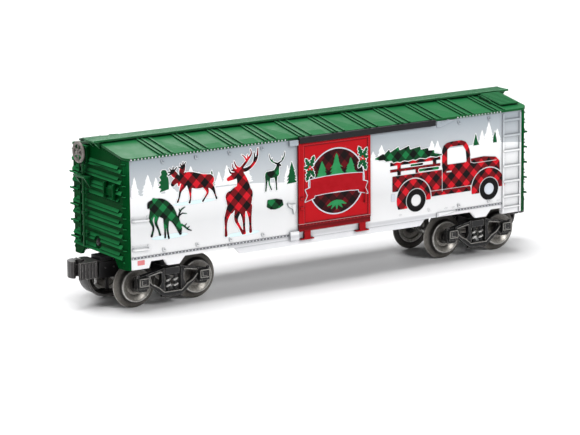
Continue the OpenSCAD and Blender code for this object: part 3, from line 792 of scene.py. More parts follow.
def moose():
    ink = Ink(-98, 46, -66, 70)
    body = [(-86.4, 60, 2.2), (-83, 60, 3.3), (-79, 58.6, 3.8), (-75, 58.1, 3.1), (-72, 58.2, 2.8)]
    hump = [(-87, 61.4, 1.1), (-83.3, 62, 1.4), (-79, 60.6, 1.2), (-73, 60, 1.1)]
    head = [(-87.2, 60.6, 1.9), (-89.6, 60.2, 1.5), (-91.4, 59.2, 1.3), (-92, 58.4, 1.1)]
    beard = [(-88.6, 59.2, 1), (-88.7, 57.4, 0.4)]
    ear = [(-86.8, 61.8, 0.6), (-85, 63.2, 0.35)]
    legs = [
        [(-86, 57.6, 1.6), (-87.9, 54.6, 0.7), (-88.6, 51.8, 0.42), (-89.5, 49.6, 0.5)],
        [(-82.8, 57, 1.4), (-82.5, 53.4, 0.65), (-82.4, 50.6, 0.4), (-83, 48.6, 0.55)],
        [(-74.6, 56.4, 1.6), (-72.9, 52.6, 0.7), (-74.2, 50.2, 0.42), (-75.6, 48.4, 0.5)],
        [(-72.2, 56.6, 1.8), (-69.8, 53.6, 0.9), (-68.8, 51, 0.42), (-68, 48.8, 0.5)]]
    palms = [[(-89.2, 61.8, 0.8), (-91, 63.1, 1.5), (-92.2, 64.5, 1.1)],
             [(-87.6, 62.2, 0.9), (-86.8, 64.6, 1.5), (-86, 66.3, 1.1)]]
    ink.limbs(body, hump, head, beard, ear, *legs, *palms)
    tines = Ink(-98, 46, -66, 70)
    for x, z in ((-94.6, 62.8), (-94.6, 64.6), (-93.6, 66.2), (-91.6, 66.8), (-89.6, 66.4)):
        tines.limbs([(-92, 64, 0.5), (x, z, 0.25)])
    for x, z in ((-88.8, 66.4), (-87.8, 67.8), (-86.2, 68.5), (-84.8, 68.2)):
        tines.limbs([(-86.4, 65.4, 0.5), (x, z, 0.25)])
    tines.add(np.maximum(ink.field, ink.z - 50.2))
    print_side(ink.grown(OUTLINE).add(tines.grown(OUTLINE).field), "moose_outline", "white_ink", 3)
    print_side(ink, "moose", "red_plaid", 4)
    print_side(tines, "moose_tines_and_hooves", "black_ink", 5)


def grazing_deer():
    ink = Ink(-108, 31, -80, 56)
    body = [(-101.6, 49.2, 3.5), (-98.6, 48, 4.2), (-95.4, 45.8, 3.8), (-93, 43.6, 2.8)]
    back = [(-102.6, 52.2, 0.9), (-92.6, 46.2, 0.9)]
    neck = [(-93.6, 44.2, 2.5), (-91, 41.2, 2), (-89.4, 38.2, 1.6), (-88.7, 36.4, 1.35)]
    face = [(-89, 37.4, 1.45), (-88.3, 34.2, 0.7)]
    ear = [(-90.6, 41.6, 0.7), (-88.8, 42.6, 0.3)]
    legs = [
        [(-102.8, 47, 1.9), (-104.3, 42.8, 1), (-103, 38.8, 0.5), (-104, 34.9, 0.55)],
        [(-100.6, 45.6, 1.5), (-101.6, 41.2, 0.75), (-100.2, 37.6, 0.42), (-99.4, 34.9, 0.5)],
        [(-96.4, 44, 1.3), (-96.6, 39, 0.6), (-96.6, 35.6, 0.42), (-96.7, 33.4, 0.5)],
        [(-95.2, 43.8, 1.3), (-95.4, 38.6, 0.6), (-95.1, 35.2, 0.42), (-94.7, 32.9, 0.5)]]
    antlers = [
        [(-89.4, 40.8, 0.5), (-88.9, 43.4, 0.4), (-87.6, 45.6, 0.35), (-85.6, 46.7, 0.2)],
        [(-88.9, 42.9, 0.35), (-87, 43.9, 0.25)], [(-87, 43.9, 0.25), (-84.6, 43.4, 0.15)],
        [(-88.3, 44.6, 0.3), (-88.7, 46.2, 0.15)],
        [(-87.6, 38.4, 0.5), (-86, 37.4, 0.4), (-84.2, 35.8, 0.35), (-82.2, 34.9, 0.2)],
        [(-86, 37.3, 0.35), (-84.8, 38.5, 0.15)],
        [(-84.6, 36.2, 0.3), (-83.2, 37, 0.15)]]
    ink.limbs(body, back, neck, face, ear, *legs, *antlers)
    print_side(ink, "grazing_deer", "green_plaid", 4)
    dark = Ink(-108, 31, -80, 56)
    dark.add(np.maximum(ink.field, ink.z - 35.8))
    dark.limbs([(-103.8, 51.4, 0.7), (-105.2, 50.6, 0.8), (-105.6, 48.6, 0.4)])
    print_side(dark, "grazing_deer_tail_and_hooves", "black_ink", 5)


def standing_stag():
    ink = Ink(-68, 28, -42, 72)
    body = [(-58.6, 47.4, 4), (-55.4, 48, 5.4), (-52, 48.4, 4.4)]
    chest = [(-53, 51.4, 4), (-52.6, 47, 4.6), (-52, 43.6, 3.2)]
    rump = [(-60.2, 48.6, 2.8), (-59.4, 44.6, 2.6), (-60, 41.8, 1.6)]
    neck = [(-52.8, 51, 4), (-53.4, 55, 3), (-54.6, 58.4, 2.2), (-55.6, 60.2, 1.8)]
    head = [(-55.4, 59.4, 2), (-58.2, 58.2, 1.5), (-61.2, 57.2, 0.95)]
    ears = [[(-56.6, 60.8, 0.8), (-59.4, 61.4, 0.3)], [(-54, 60.4, 0.7), (-52.6, 60.6, 0.3)]]
    legs = [
        [(-60.4, 43.2, 2), (-62.6, 38.4, 1.2), (-63, 34.4, 0.65), (-63, 30, 0.85)],
        [(-56, 41.6, 2), (-57.2, 37, 1), (-55.2, 33, 0.6), (-53.4, 29.9, 0.8)],
        [(-53.6, 41.8, 1.8), (-53, 36.8, 0.85), (-52.8, 33, 0.6), (-52.6, 29.9, 0.8)],
        [(-50, 42.4, 2), (-49.4, 37.4, 0.95), (-49.2, 33.4, 0.65), (-49.1, 30.2, 0.85)]]
    antlers = [
        [(-54, 60.6, 1), (-51, 60.8, 0.9), (-48.4, 62, 0.8), (-46, 64.4, 0.75), (-44.8, 67, 0.55),
         (-44.4, 70.4, 0.3)],
        [(-54.8, 61.2, 0.9), (-53.2, 62.4, 0.75), (-51.2, 64.4, 0.7), (-49.4, 66.4, 0.55),
         (-48.2, 68.2, 0.4), (-48.6, 70.4, 0.2)],
        [(-50.8, 65.2, 0.5), (-52, 67, 0.35), (-53.6, 68.2, 0.2)],
        [(-50.2, 65.8, 0.4), (-50.3, 68, 0.2)],
        [(-46.8, 63.6, 0.6), (-46.3, 66.2, 0.45), (-46.6, 68.6, 0.25)],
        [(-55, 61.6, 0.6), (-56.8, 63, 0.45), (-58, 65.6, 0.2)],
        [(-56.4, 60.8, 0.5), (-58.4, 62.2, 0.35), (-59, 64.4, 0.2)],
        [(-57.6, 59.6, 0.5), (-60, 60.2, 0.4), (-61, 62.6, 0.2)]]
    ink.limbs(body, chest, rump, neck, head, *ears, *legs, *antlers)
    print_outlined(ink, "standing_stag", "red_plaid")


def distant_stag():
    ink = Ink(-43, 47, -27, 69)
    body = [(-39, 56.8, 1.5), (-36.6, 56.6, 1.8), (-34.2, 57, 1.8)]
    neck = [(-34, 57.6, 1.6), (-33.4, 59.6, 1), (-33, 61, 0.8)]
    head = [(-33, 61, 0.85), (-31.6, 60.5, 0.45)]
    ears = [[(-33.4, 61.4, 0.35), (-34.8, 61.7, 0.15)], [(-32.6, 61.6, 0.3), (-31.6, 62, 0.15)]]
    legs = [[(-39.6, 56, 1), (-39.8, 52.6, 0.5), (-40.2, 48.9, 0.4)],
            [(-38.2, 55.6, 0.8), (-38.2, 52.4, 0.4), (-37, 49.2, 0.35)],
            [(-34.4, 55.6, 0.9), (-34.2, 52, 0.4), (-34, 48.9, 0.4)]]
    antlers = [[(-33.4, 61.6, 0.4), (-35.8, 62.6, 0.35), (-37.4, 64.2, 0.3), (-38, 66.6, 0.15)],
               [(-32.8, 61.8, 0.4), (-30.8, 62.8, 0.35), (-29.6, 64.6, 0.3), (-29.1, 67, 0.15)],
               [(-36.2, 62.9, 0.25), (-36.4, 64.6, 0.15)],
               [(-30.6, 63, 0.25), (-30.8, 64.8, 0.15)]]
    ink.limbs(body, neck, head, *ears, *legs, *antlers)
    print_outlined(ink, "distant_stag", "green_plaid")


def stump():
    ink = Ink(-41, 38, -29, 46)
    ink.add(ink.polygon((-39, 44), (-34.4, 44.1), (-31, 43.2), (-30.5, 41), (-32.6, 39.9), (-35, 39.5),
                        (-37.4, 39.8), (-39.4, 41), grow=0.3))
    print_side(ink, "stump", "green_plaid", 4)


def pickup():
    """Pickup seen from its right side, with pale lines between its panels."""
    rear, front = (48.3, 33.4), (93.4, 33.85)
    arch, tyre, hub, line = 6.2, 5.75, 3.0, 0.3
    ink = Ink(32, 26, 104, 63)
    bed = ink.polygon((34.4, 46.6), (64, 46.6), (64, 37), (58, 37), (54, 39.6), (34.4, 39.6), grow=0.4)
    cab = ink.polygon((64.6, 37.4), (64.6, 56.8), (65.5, 58.9), (67.4, 60), (70, 60.4), (76, 60.4),
                      (78.4, 59.5), (79.9, 57.6), (80.9, 55), (81.6, 50), (81.6, 37.4), grow=0.35)
    hood = ink.polygon((81.2, 50.2), (90, 50.6), (97.4, 49.6), (99.6, 47.4), (99.9, 42.6), (96, 37.4),
                       (81.2, 37.4), grow=0.35)
    board = ink.polygon((57, 34.4), (82, 34.4), (81.4, 36.6), (57.6, 36.6), grow=0.2)
    rails = [ink.polygon((32.8, z0), (63, z0), (63, z1), (32.8, z1), grow=0.1)
             for z0, z1 in ((52.5, 54), (49.3, 50.5))]
    stakes = [ink.polygon((x - 0.9, 47.4), (x + 0.9, 47.4), (x + 0.9, 54), (x - 0.9, 54), grow=0.1)
              for x in (38, 49, 59.6)]
    ink.add(bed, cab, hood, board, *rails, *stakes)
    for x, span, left_z, right_z in ((46.9, 10.6, 29.6, 32.6), (93, 10.8, 32, 34)):
        fender = np.maximum(ink.circle(x, 34.2, span), np.where(ink.x < x, left_z, right_z) - ink.z)
        ink.cut(np.abs(fender) - line).add(fender + line)
    # Window, door gap, hood line, line over the running board, and door handle.
    ink.cut(ink.polygon((68, 49.8), (68, 56.6), (69.4, 57.6), (76.6, 57.6), (78.2, 55.4), (78.8, 49.8),
                        grow=0.6),
            ink.stroke((64.3, 36, 0.22), (64.3, 48, 0.22)),
            ink.stroke((81.6, 52, 0.2), (82, 48.8, 0.2), (84, 48.2, 0.2), (98, 48.2, 0.2)),
            ink.stroke((57, 36.9, 0.18), (82, 36.9, 0.18)),
            ink.stroke((67.2, 45.6, 0.42), (69.8, 45.6, 0.42)),
            ink.circle(*rear, arch), ink.circle(*front, arch))
    print_side(ink, "pickup", "red_plaid", 3)
    tyres = Ink(32, 26, 101, 41)
    for x, z in (rear, front):
        tyres.add(tyres.circle(x, z, tyre)).cut(tyres.circle(x, z, hub))
    print_side(tyres, "pickup_tyres", "black_ink", 3)
    pale = Ink(32, 29, 98, 40)
    pale.add(pale.circle(*front, hub - 0.1),
             pale.polygon((33.6, 34.8), (35.2, 34.8), (35.2, 37.8), (33.6, 37.8), grow=0.3))
    print_side(pale, "pickup_hub_and_lamp", "hub_ink", 3)


def load_of_tree():
    """Felled fir lying on the bed's rails, its top over the tail."""
    ink = Ink(21, 47, 67, 64)
    boughs = [(23.6, 57.2), (28.4, 59), (29, 58.4), (31.9, 60.8), (32.5, 59.2), (37.5, 61.5), (38.2, 59.6),
              (43.9, 61.4), (44.4, 59.4), (50.7, 60.3), (51, 58.6), (55.4, 59), (55.6, 57.6), (59.1, 57.5),
              (59.2, 56), (64, 54.8)]
    under = [(60.6, 54.2), (57, 55), (54, 54.2), (50.4, 54.9), (48, 54.1), (46.2, 54.6), (43.6, 54.1),
             (41, 54.7), (38.6, 54.1), (36.7, 54.6), (34.6, 54.2), (33.4, 55.4), (30.3, 55.2), (29, 56.2),
             (26.6, 56.2)]
    ink.add(ink.polygon(*boughs, *under, grow=0.2))
    # Twigs that show between the rails.
    ink.limbs([(50.6, 48.4, 0.7), (61.6, 48.3, 0.7)], [(45.4, 51.5, 0.55), (52, 51.5, 0.55)])
    print_outlined(ink, "load_of_tree", "green_plaid", 4, 3.5)


def blank_patch():
    ink = Ink(-113, 21, -106, 25)
    ink.add(ink.polygon((-111.8, 21.8), (-108.2, 21.8), (-108.2, 23.8), (-111.8, 23.8), grow=0.15))
    print_side(ink, "blank_patch", "pink_ink")


# ---- The round emblem on the doors ----

EMBLEM_X = 0.0
EMBLEM_Z = 49.3
EMBLEM_R = 16.6


def door_emblem():
    def sheet():
        return Ink(-20.5, 31, 20.5, 68)

    disc = sheet()
    disc.add(disc.circle(EMBLEM_X, EMBLEM_Z, EMBLEM_R - 0.7))
    print_doors(disc, "emblem_disc", "dark_plaid")
    ring = sheet()
    ring.add(ring.circle(EMBLEM_X, EMBLEM_Z, EMBLEM_R)).cut(ring.circle(EMBLEM_X, EMBLEM_Z, EMBLEM_R - 0.6))
    print_doors(ring, "emblem_ring", "hub_ink", 2)
    # Blank ribbon across the disc, with folded ends, over a thin pale outline.
    half_h, half_w = 4.2, 15.4
    for grow, layer, material, name in ((0.35, 4, "hub_ink", "ribbon_edge"),
                                        (0.0, 5, "ribbon_ink", "ribbon")):
        ribbon = sheet()
        band = np.abs(ribbon.z - (46.6 + 1.6 * np.cos(ribbon.x / 15))) - half_h
        middle = np.maximum(band, np.abs(ribbon.x) - half_w)
        ends = [ribbon.polygon((s * 13, 42.4), (s * 18.4, 41), (s * 16.9, 43.9), (s * 18.2, 46.9),
                               (s * 13, 48.4)) for s in (-1, 1)]
        ribbon.add(middle - grow, *(end - grow for end in ends))
        print_doors(ribbon, name, material, layer)
    # Three firs above the ribbon and a sprig below it.
    firs = sheet()
    for x, top, half_w in ((-8.4, 60, 3.6), (0, 63, 4.6), (8.4, 60, 3.6)):
        conifer(firs, x, 52.2, top, half_w, 6)
    for angle in (-150, -120, -90, -60, -30):
        a = math.radians(angle)
        firs.limbs([(0, 39.6, 0.3), (3 * math.cos(a), 39.6 + 2 * math.sin(a), 0.8),
                    (6.4 * math.cos(a), 39.6 + 4.4 * math.sin(a), 0.2)])
    print_doors(firs, "emblem_firs", "leaf_ink", 3)
    leaves = sheet()
    berries = sheet()
    for s, centre_z in ((-1, 57.4), (1, 59)):
        for turn, length in ((112, 6.4), (62, 5.6), (10, 4), (-72, 6.6), (-118, 5.4)):
            a = math.radians(turn)
            holly(leaves, s * 15.4, centre_z, s * math.cos(a), math.sin(a), length)
        for dx, dz in ((0, 0.6), (-0.9, -0.5), (0.9, -0.6)):
            berries.add(berries.circle(s * 15.4 + dx, centre_z + dz, 0.62))
    print_doors(leaves.grown(0.25), "emblem_leaf_edges", "white_ink", 2.5)
    print_doors(leaves, "emblem_leaves", "tree_ink", 3)
    print_doors(berries, "emblem_berries", "berry_ink", 4)


def holly(ink, x, z, ux, uz, length):
    """Leaf with three pairs of points, from (x, z) along (ux, uz)."""
    half = []
    for along, across in ((0.1, 0.04), (0.28, 0.25), (0.4, 0.1), (0.55, 0.24), (0.66, 0.09), (0.8, 0.16)):
        half.append((along * length, across * length))
    outline = half + [(length, 0)] + [(a, -b) for a, b in half[::-1]]
    ink.add(ink.polygon(*[(x + a * ux - b * uz, z + a * uz + b * ux) for a, b in outline], grow=0.08))


# ---- Fittings of the body ----

def rivet_rows():
    """Rows of rivets greyed as painted shade along the top and bottom of the sides, on strips painted grey
    as shade.
    """
    pitch, proud = 1.9, 0.25
    rivets, strips = Solid(), Solid()
    for z, below, above in ((72.6, 0.5, 0.5), (25.3, 0.5, 0.4)):
        for x0, x1 in ((-114.4, -28.4), (73.6, 100.6)):
            rivets.rivets([(x0 + k * pitch, -HALF_W - proud, z) for k in range(int((x1 - x0) / pitch) + 1)],
                          NEAR, 0.42, 0.32, sides=10)
        for x0, x1 in ((-114.9, -27.2), (72.6, 101.4)):
            strips.box((x0, -HALF_W - proud - 0.03, z - below), (x1, -HALF_W + 0.1, z + above))
    rivets.turned()
    rivets.finish("side_rivets", "trim")
    strips.turned()
    strips.finish("side_strips", "strip_shade", bevel=0.12)


def side_fittings():
    """Lugs, grab irons, latch bracket and small slots, moulded on both sides."""
    solid = Solid()
    face = -HALF_W
    # Lugs in the path of the door are nearly flat, and one has no room above the door's guide.
    lug = ((-0.9, 0.7), (-0.5, 0.7), (-0.4, -0.4), (0.9, -0.5), (0.8, -1), (-0.6, -0.9))
    lug_xs = (-97.4, -79, -60.4, -42, 56.4, 74.6, 93.3)
    for x, z in [(x, 70.1) for x in lug_xs if x != 56.4] + [(x, 27.7) for x in lug_xs]:
        proud = 0.15 if 0 < x < DOOR_REACH else 0.5
        solid.prism([(x + dx, face - proud, z + dz) for dx, dz in lug], (0, proud + 0.1, 0))
        solid.dome((x + 0.35, face, z + 0.3), NEAR, 0.32, 0.6 * proud)
    grab_iron = ((-114.3, -0.2, 0), (-114.3, 1.1, 0), (-114, 1.5, 0), (-106.4, 1.5, 0.3), (-106.1, 1.1, 0.3),
                 (-106.1, -0.2, 0.3))
    for z in (43.4, 29.5):
        solid.tube([(x, face - proud, z - fall) for x, proud, fall in grab_iron], 0.48)
        solid.rivets([(x, face, z + 1.4) for x in (-106.2, -114.2)], NEAR, 0.4, 0.3, sides=10)
    latch = ((-28, 41.4), (-26.4, 40.6), (-23.6, 40.4), (-23.6, 37.4), (-24.6, 35.6), (-25, 38.2),
             (-27.4, 39.6))
    solid.prism([(x, face, z) for x, z in latch], (0, -0.9, 0))
    solid.dome((-25.4, face - 0.8, 39.6), NEAR, 0.6, 0.5)
    solid.rivets([(x, face - 0.6, z) for x, z in ((63.4, 71.2), (65.4, 71.7), (67.4, 72.1))], NEAR, 0.4, 0.3,
                 sides=10)
    for x in (38, 66, 70.4, 94, 98.6):
        solid.box((x, face - 0.15, 26.9), (x + 1.6, face + 0.1, 27.2))
    solid.turned()
    solid.finish("side_fittings", "side", bevel=0.08)


def roof_fittings():
    """Rivet lines beside the seams, eave lips between them, and cleats on the running board."""
    rivets = Solid()
    lips = Solid()
    for i in range(SEAM_COUNT):
        x = (i - (SEAM_COUNT - 1) / 2) * SEAM_PITCH
        for s in (-1, 1):
            for offset in (0.0, SEAM_GAP):
                rivets.rivets([(x + offset, s * y, roof_z(y)) for y in (7 + k * 2.15 for k in range(9))],
                              (0, s * ROOF_FALL, 1), 0.36, 0.3)
            low, high = x + 6.1, x + 14.4
            if high < HALF_L - 2 and i < SEAM_COUNT - 1:
                lips.prism([(low, s * 22.1, roof_z(22.1) + 0.55), (low, s * 22.1, roof_z(22.1) - 0.2),
                            (low, s * 26.6, roof_z(26.6) - 0.25), (low, s * 26.9, roof_z(26.9) + 0.02)],
                           (high - low, 0, 0))
    rivets.finish("roof_rivets", "green")
    lips.finish("eave_lips", "green", bevel=0.1)
    board = Solid()
    pitch = 1.35
    count = int(2 * (BOARD_HALF_L - 1) / pitch)
    for k in range(count + 1):
        x = -BOARD_HALF_L + 1 + k * pitch
        for y0 in (-4.1, -1.3, 1.5):
            board.box((x - 0.28, y0, BOARD_TOP - 0.1), (x + 0.28, y0 + 2.6, BOARD_TOP + 0.16))
    for edge in (0.25 - BOARD_HALF_W, BOARD_HALF_W - 0.25):
        board.box((-BOARD_HALF_L + 0.2, edge - 0.2, BOARD_TOP - 0.1),
                  (BOARD_HALF_L - 0.2, edge + 0.2, BOARD_TOP + 0.2))
    board.finish("running_board_cleats", "green_board")


def roof_walk_fittings():
    """Cleats and bolts on the two short walks, and a grab iron beside each."""
    solid = Solid()
    low, high = box_mm("near_roof_walk")
    for k in range(9):
        y = -6.4 - k * 1.75
        x0, x1 = low.x + 0.5, high.x - 0.5
        z = roof_z(y) + 1.25
        solid.prism([(x0, y - 0.5, z - 0.25 - 0.09), (x0, y + 0.5, z - 0.25 + 0.09), (x0, y + 0.5, z + 0.3),
                     (x0, y - 0.5, z + 0.12)], (x1 - x0, 0, 0))
    for x in (low.x + 1.2, high.x - 1.2):
        y = -19.5
        solid.dome((x, y, roof_z(y) + 1.3), (0, -ROOF_FALL, 1), 0.5, 0.35)
    y0, y1, x = -8, -17, low.x - 2.2
    solid.tube([(x, y0, roof_z(y0) - 0.2), (x, y0, roof_z(y0) + 1.1), (x, y0 - 0.4, roof_z(y0) + 1.5),
                (x, y1 + 0.4, roof_z(y1) + 1.5), (x, y1, roof_z(y1) + 1.1), (x, y1, roof_z(y1) - 0.2)], 0.35)
    solid.turned()
    solid.finish("roof_walk_fittings", "green", bevel=0.08)


def end_fittings():
    """Rivets, rib tips, a strap and corner studs of both end walls, drawn on the plain end, and screws."""
    solid = Solid()
    face = HALF_L
    out = (1, 0, 0)
    row = [-23.4 + k * 1.8 for k in range(27)]
    solid.rivets([(face, y, 51.3) for y in row], out, 0.38, 0.3)
    solid.rivets([(face, y, 25) for y in row if abs(y) > 15], out, 0.34, 0.28)
    solid.rivets([(face, y, roof_z(y) - 2.3) for y in range(-22, 24, 2)], out, 0.34, 0.26)
    for i in range(RIB_COUNT):
        z = RIB_TOP + 0.9 - i * RIB_PITCH
        for s in (-1, 1):
            solid.tube([(face - 0.05, s * 22.8, z), (face - 0.1, s * 24.6, z + 0.1),
                        (face - 0.7, s * 25.6, z + 0.2)], 0.32, 6)
    solid.box((face - 0.1, -15.7, 26.4), (face + 1.5, -15, 65))
    for s in (-1, 1):
        solid.dome((face - 0.2, s * 23.5, 22.8), out, 0.8, 0.6, sides=14)
    solid.turned()
    solid.finish("end_fittings", "green_end", bevel=0.06)
    screws = Solid()
    for s in (-1, 1):
        at = Vector((s * (face + 0.1), 0, 28.9))
        screws.lathe([(1.9, -1.2), (1.9, 0.1), (1.7, 0.45), (1.1, 0.72), (0.5, 0.8), (0.5, 0.2), (0, 0.2)],
                     at, (s, 0, 0), 28)
    screws.finish("end_screws", "casting", slot="grey_metal")


def brake_fittings():
    """Treads on the brake step, brackets on the rod, gear-case rivets, and the brake wheel's nut."""
    step_low, step_high = box_mm("brake_step")
    solid = Solid()
    for k in range(3):
        x = step_low.x + 0.8 + k * 1.1
        if x > -HALF_L - 4.2:
            break
        solid.box((x - 0.2, step_low.y + 0.5, step_high.z - 0.1),
                  (x + 0.2, step_high.y - 0.5, step_high.z + 0.2))
    rod = box_mm("brake_shaft")
    rod_y = 9.6
    rod_x = -HALF_L - 2.6
    for z in (31, 41.4, 51.4, 64.6):
        solid.box((rod_x + 0.3, rod_y - 1.5, z), (-HALF_L, rod_y - 0.7, z + 1.2))
        solid.lathe([(1.0, 0), (1.0, 1.2)], (rod_x, rod_y, z), (0, 0, 1), 16)
    solid.lathe([(1.5, 0), (1.5, 0.5), (1.1, 0.9), (0, 0.9)], (rod[0].x + 1.2, 10.3, 71.5), (1, 0, 0), 20)
    for y in (8.2, 12.4):
        for z in (66.4, 73.6):
            solid.dome((-HALF_L - 1.7, y, z), (-1, 0, 0), 0.42, 0.3)
    solid.finish("brake_fittings", "green", bevel=0.06)
    nut = Solid()
    wheel_low, wheel_high = box_mm("brake_wheel")
    middle = (wheel_low + wheel_high) / 2
    nut.lathe([(1.0, -0.5), (1.0, 1.0), (0.6, 1.4), (0, 1.4)], (middle.x, middle.y, middle.z), (-1, 0, 0), 6)
    nut.finish("brake_wheel_nut", "grey")


def door_fittings():
    """Rivets above and below each door's panel, two slides on its left edge, and a handle."""
    for side, turn in (("near", 0.0), ("far", math.pi)):
        solid = Solid()
        face = DOOR_LOW.y
        solid.rivets([(DOOR_LOW.x + 2 + k * 2, face, z) for k in range(20) for z in (29.6, 69.5)],
                     NEAR, 0.34, 0.24)
        for z in (37.6, 42.4):
            solid.box((DOOR_LOW.x + 0.6, face - 0.5, z), (DOOR_LOW.x + 2.6, face + 0.3, z + 1.1))
        solid.tube([(16.4, face - proud, z) for proud, z in
                    ((-0.2, 37), (0.7, 37), (0.9, 37.3), (0.9, 42.7), (0.7, 43), (-0.2, 43))], 0.35)
        solid.move(Matrix.Rotation(turn, 4, "Z"))
        solid.finish(side + "_door_fittings", "red", bevel=0.06, body=side + "_door")


def underframe_fittings():
    """Rivets on the sills and screws into the body, seen from below."""
    solid = Solid()
    for s in (-1, 1):
        for k in range(14):
            solid.dome((-52 + k * 8, s * 8.1, 22.4), (0, s, 0), 0.5, 0.35)
        for x in (-40, 0, 40):
            solid.lathe([(2.2, 0), (2.2, -0.5), (1.4, -0.9), (0, -0.9)], (x, s * 16, 24.65), (0, 0, 1), 20)
    solid.finish("underframe_fittings", "frame", bevel=0.06)


# ---- Trucks ----

def on_trucks(make, name, material, bevel=0.0):
    """Shapes drawn with the coupler towards +X, put on both trucks."""
    for end, x, turn in (("brake", -TRUCK_X, math.pi), ("plain", TRUCK_X, 0.0)):
        solid = Solid()
        make(solid)
        solid.move(Matrix.Translation((x, 0, 0)) @ Matrix.Rotation(turn, 4, "Z"))
        solid.finish(end + "_" + name, material, bevel, end + "_truck")


def both_frames(make):
    """Draws on the -Y sideframe and, turned, on the other."""
    def shapes(solid):
        make(solid)
        solid.turned()
    return shapes


def ribbon(solid, points, y0, y1, width):
    """Raised lip of a given width along points in X and Z."""
    for (xa, za), (xb, zb) in zip(points, points[1:]):
        ahead = Vector((xb - xa, 0, zb - za)).normalized() * (width / 2)
        across = Vector((-ahead.z, 0, ahead.x))
        a, b = Vector((xa, y0, za)) - ahead * 0.6, Vector((xb, y0, zb)) + ahead * 0.6
        solid.prism([a + across, b + across, b - across, a - across], (0, y1 - y0, 0))


@both_frames
def frame_plates(solid):
    """Plates on the journal lids, bolts and brake hangers."""
    out = FRAME_OUT
    for s in (-1, 1):
        x = s * HALF_BASE
        solid.box((x - 1.2, LID_OUT - 0.5, 11.2), (x + 1.2, LID_OUT + 0.1, 13.2))
        solid.dome((x - s * 1.6, LID_OUT, 9.6), NEAR, 0.4, 0.3)
        for dx in (-3.2, 1.8):
            solid.box((x + dx, out - 0.8, 14.4), (x + dx + 1.4, out + 0.1, 15.6))
        for bolt_x, bolt_z in ((5.5, 16.2), (5.6, 7), (9.6, 15.6)):
            solid.dome((s * bolt_x, out, bolt_z), NEAR, 0.55, 0.5)
        solid.prism([(s * 3.2, out + 0.6, 4), (s * 5.6, out + 0.6, 4.6), (s * 6.2, out + 0.6, 3.2),
                     (s * 3.8, out + 0.6, 2.5)], (0, 1.2, 0))


@both_frames
def bright_lips(solid):
    """Lips painted bright as highlight: the arch, the brow over the windows, and the frames of the journal
    lids.
    """
    out = FRAME_OUT
    arch = [(4.8, 5.6), (8, 8.3), (11, 9.8), (13.6, 12.4)]
    ribbon(solid, [(-x, z) for x, z in arch[::-1]] + arch, out + 0.2, out - 0.45, 0.42)
    for s in (-1, 1):
        ribbon(solid, [(s * 6.2, 15.5), (s * 7, 15.8), (s * 13.4, 14.5)], out + 0.2, out - 0.45, 0.4)
        x = s * HALF_BASE
        for x0, z0, x1, z1 in ((-2.6, 13.8, 2.6, 14.2), (-2.6, 10.2, 2.6, 10.6), (-2.6, 10.2, -2.2, 14.2),
                               (2.2, 10.2, 2.6, 14.2), (-1.5, 11, -1.2, 13.4), (-1.5, 11, 1.2, 11.3)):
            solid.box((x + x0, LID_OUT - 0.45, z0), (x + x1, LID_OUT + 0.1, z1))


@both_frames
def frame_springs(solid):
    """Pair of coil springs in each sideframe's nest."""
    turns, steps, wire = 2.2, 16, 0.62
    for x in (-2.1, 2.1):
        points = []
        for k in range(int(turns * steps) + 1):
            a = 2 * math.pi * k / steps
            z = 6.5 + 6 * k / (turns * steps)
            points.append((x + 1.1 * math.cos(a), FRAME_OUT + 1.3 + 0.85 * math.sin(a), z))
        solid.tube(points, wire, 8)


def coupler_shapes(solid):
    """Ribs of the guard arm, the drawbar's rivets and its top plate."""
    for k in range(5):
        x = 33 + k * 1.8
        solid.box((x, 6.3, 13.8), (x + 0.55, 6.85, 20.6))
    for s in (-1, 1):
        for x in (23, 27.6):
            solid.dome((x, s * 6, 17.6), (0, s, 0), 0.55, 0.4)
    solid.box((21.4, -4.9, 20.3), (30.4, 4.9, 20.8))


def bright_shapes(solid):
    """Pin above the uncoupling plate, head of the knuckle pin, and a bright steel strip on the bent plate's
    edge as painted highlight.
    """
    solid.lathe([(0.7, 0), (0.7, 4.2), (1.0, 4.4), (1.0, 4.8), (0, 5)], (26.7, -5.2, 7.2), (0, 0, 1), 16)
    solid.lathe([(1.3, 0), (1.3, 0.3), (0.8, 0.6), (0, 0.6)], (36.1, -3.9, 21.4), (0, 0, 1), 20)
    ribbon(solid, [(20, 4.5), (28.6, 4.6), (31.4, 6.2)], -4.95, -4.4, 0.6)


def bearing_shapes(solid):
    """Side bearings on top of the cross member."""
    for s in (-1, 1):
        for y in (-9, 9):
            solid.box((s * 4.4, y - 1.2, 15.6), (s * 5.6, y + 1.2, 17.4))


# ---- Finish of the CAD nodes ----

# The CAD nodes of each finish.
FINISHES = {
    "side": ["near_side", "far_side"],
    "green": ["roof", "near_roof_walk", "far_roof_walk", "brake_shaft", "brake_step"],
    "green_end": ["brake_end", "plain_end"],
    "green_board": ["running_board"],
    "frame": ["underframe"],
    "black": ["near_door_track", "far_door_track"],
    "grey": ["brake_wheel"],
    "steel": ["brake_kingpin", "plain_kingpin", "axle_1", "axle_2", "axle_3", "axle_4"],
    "door": ["near_door", "far_door"],
    "wheel": ["wheels_1", "wheels_2", "wheels_3", "wheels_4"],
    "casting": [end + piece for end in ("brake_truck_", "plain_truck_")
                for piece in ("bolster", "near_frame", "far_frame")],
    "drawbar": ["brake_truck_drawbar", "plain_truck_drawbar"],
    "coupler": [end + piece for end in ("brake_", "plain_")
                for piece in ("coupler_head", "knuckle", "uncoupling_plate")],
}
# Width of the rounding of each finish's edges.
BEVELS = {"side": 0.15, "green": 0.14, "green_end": 0.14, "green_board": 0.12, "door": 0.18, "black": 0.2,
          "frame": 0.15, "casting": 0.22, "coupler": 0.25, "drawbar": 0.3, "grey": 0.0, "steel": 0.15,
          "wheel": 0.12}
WELD_GAP = 1e-6


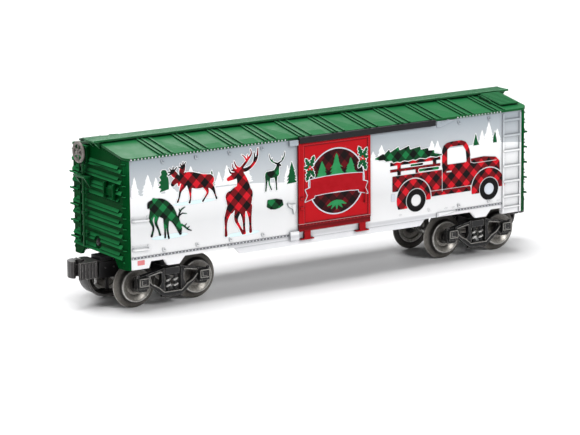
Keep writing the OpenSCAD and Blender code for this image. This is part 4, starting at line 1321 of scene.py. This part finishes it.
def finish_cad_nodes():
    for key, names in FINISHES.items():
        for name in names:
            obj = frame["nodes"][name]
            obj.data.materials.clear()
            obj.data.materials.append(MATERIALS[key])
            weld = obj.modifiers.new("weld", "WELD")
            weld.merge_threshold = WELD_GAP
            if BEVELS[key]:
                round_edges(obj, BEVELS[key])


# ---- Stage and lights ----

def make_floor():
    half = 6.0
    mesh = bpy.data.meshes.new("floor")
    corners = [(-half, -half, 0), (half, -half, 0), (half, half, 0), (-half, half, 0)]
    mesh.from_pydata(corners, [], [(0, 1, 2, 3)])
    s = Shader("pale_floor")
    tone = s.tones(s.noise(300, 2), (0.3, (243, 243, 244)), (0.7, (247, 247, 248)))
    mesh.materials.append(s.set(Base_Color=tone, Roughness=0.7))
    make_object("floor", mesh)


def area_light(name, at, target, size, power):
    data = bpy.data.lights.new(name, "AREA")
    data.shape = "DISK"
    data.size = size
    data.energy = power
    light = make_object(name, data)
    light.location = at
    light.rotation_euler = (Vector(target) - Vector(at)).to_track_quat("-Z", "Y").to_euler()


def make_lights():
    world = bpy.data.worlds.new("studio")
    world.use_nodes = True
    background = world.node_tree.nodes["Background"]
    background.inputs["Color"].default_value = (1, 1, 1, 1)
    background.inputs["Strength"].default_value = 0.3
    bpy.context.scene.world = world
    area_light("overhead", (-0.1, 0.1, 1.6), (0, 0, 0), 1.3, 27)
    area_light("key", (0.1, -1.5, 0.9), (0, 0, 0.03), 0.6, 13)
    area_light("back", (0.5, 1.6, 0.9), (0, 0, 0.05), 1.2, 9)
    bpy.context.scene.view_settings.view_transform = "Standard"


# ---- Making it all ----

random.seed(7)
make_camera()
finish_cad_nodes()

white_trees()
green_trees()
ground_shadows()
moose()
grazing_deer()
standing_stag()
distant_stag()
stump()
pickup()
load_of_tree()
blank_patch()
door_emblem()

rivet_rows()
side_fittings()
roof_fittings()
roof_walk_fittings()
end_fittings()
brake_fittings()
door_fittings()
underframe_fittings()

on_trucks(frame_plates, "frame_lips", "casting", 0.08)
on_trucks(bright_lips, "bright_lips", "bright_casting", 0.06)
on_trucks(frame_springs, "springs", "steel")
on_trucks(coupler_shapes, "coupler_ribs", "coupler", 0.1)
on_trucks(bright_shapes, "bright_pins", "steel")
on_trucks(bearing_shapes, "side_bearings", "casting", 0.1)

make_floor()
make_lights()
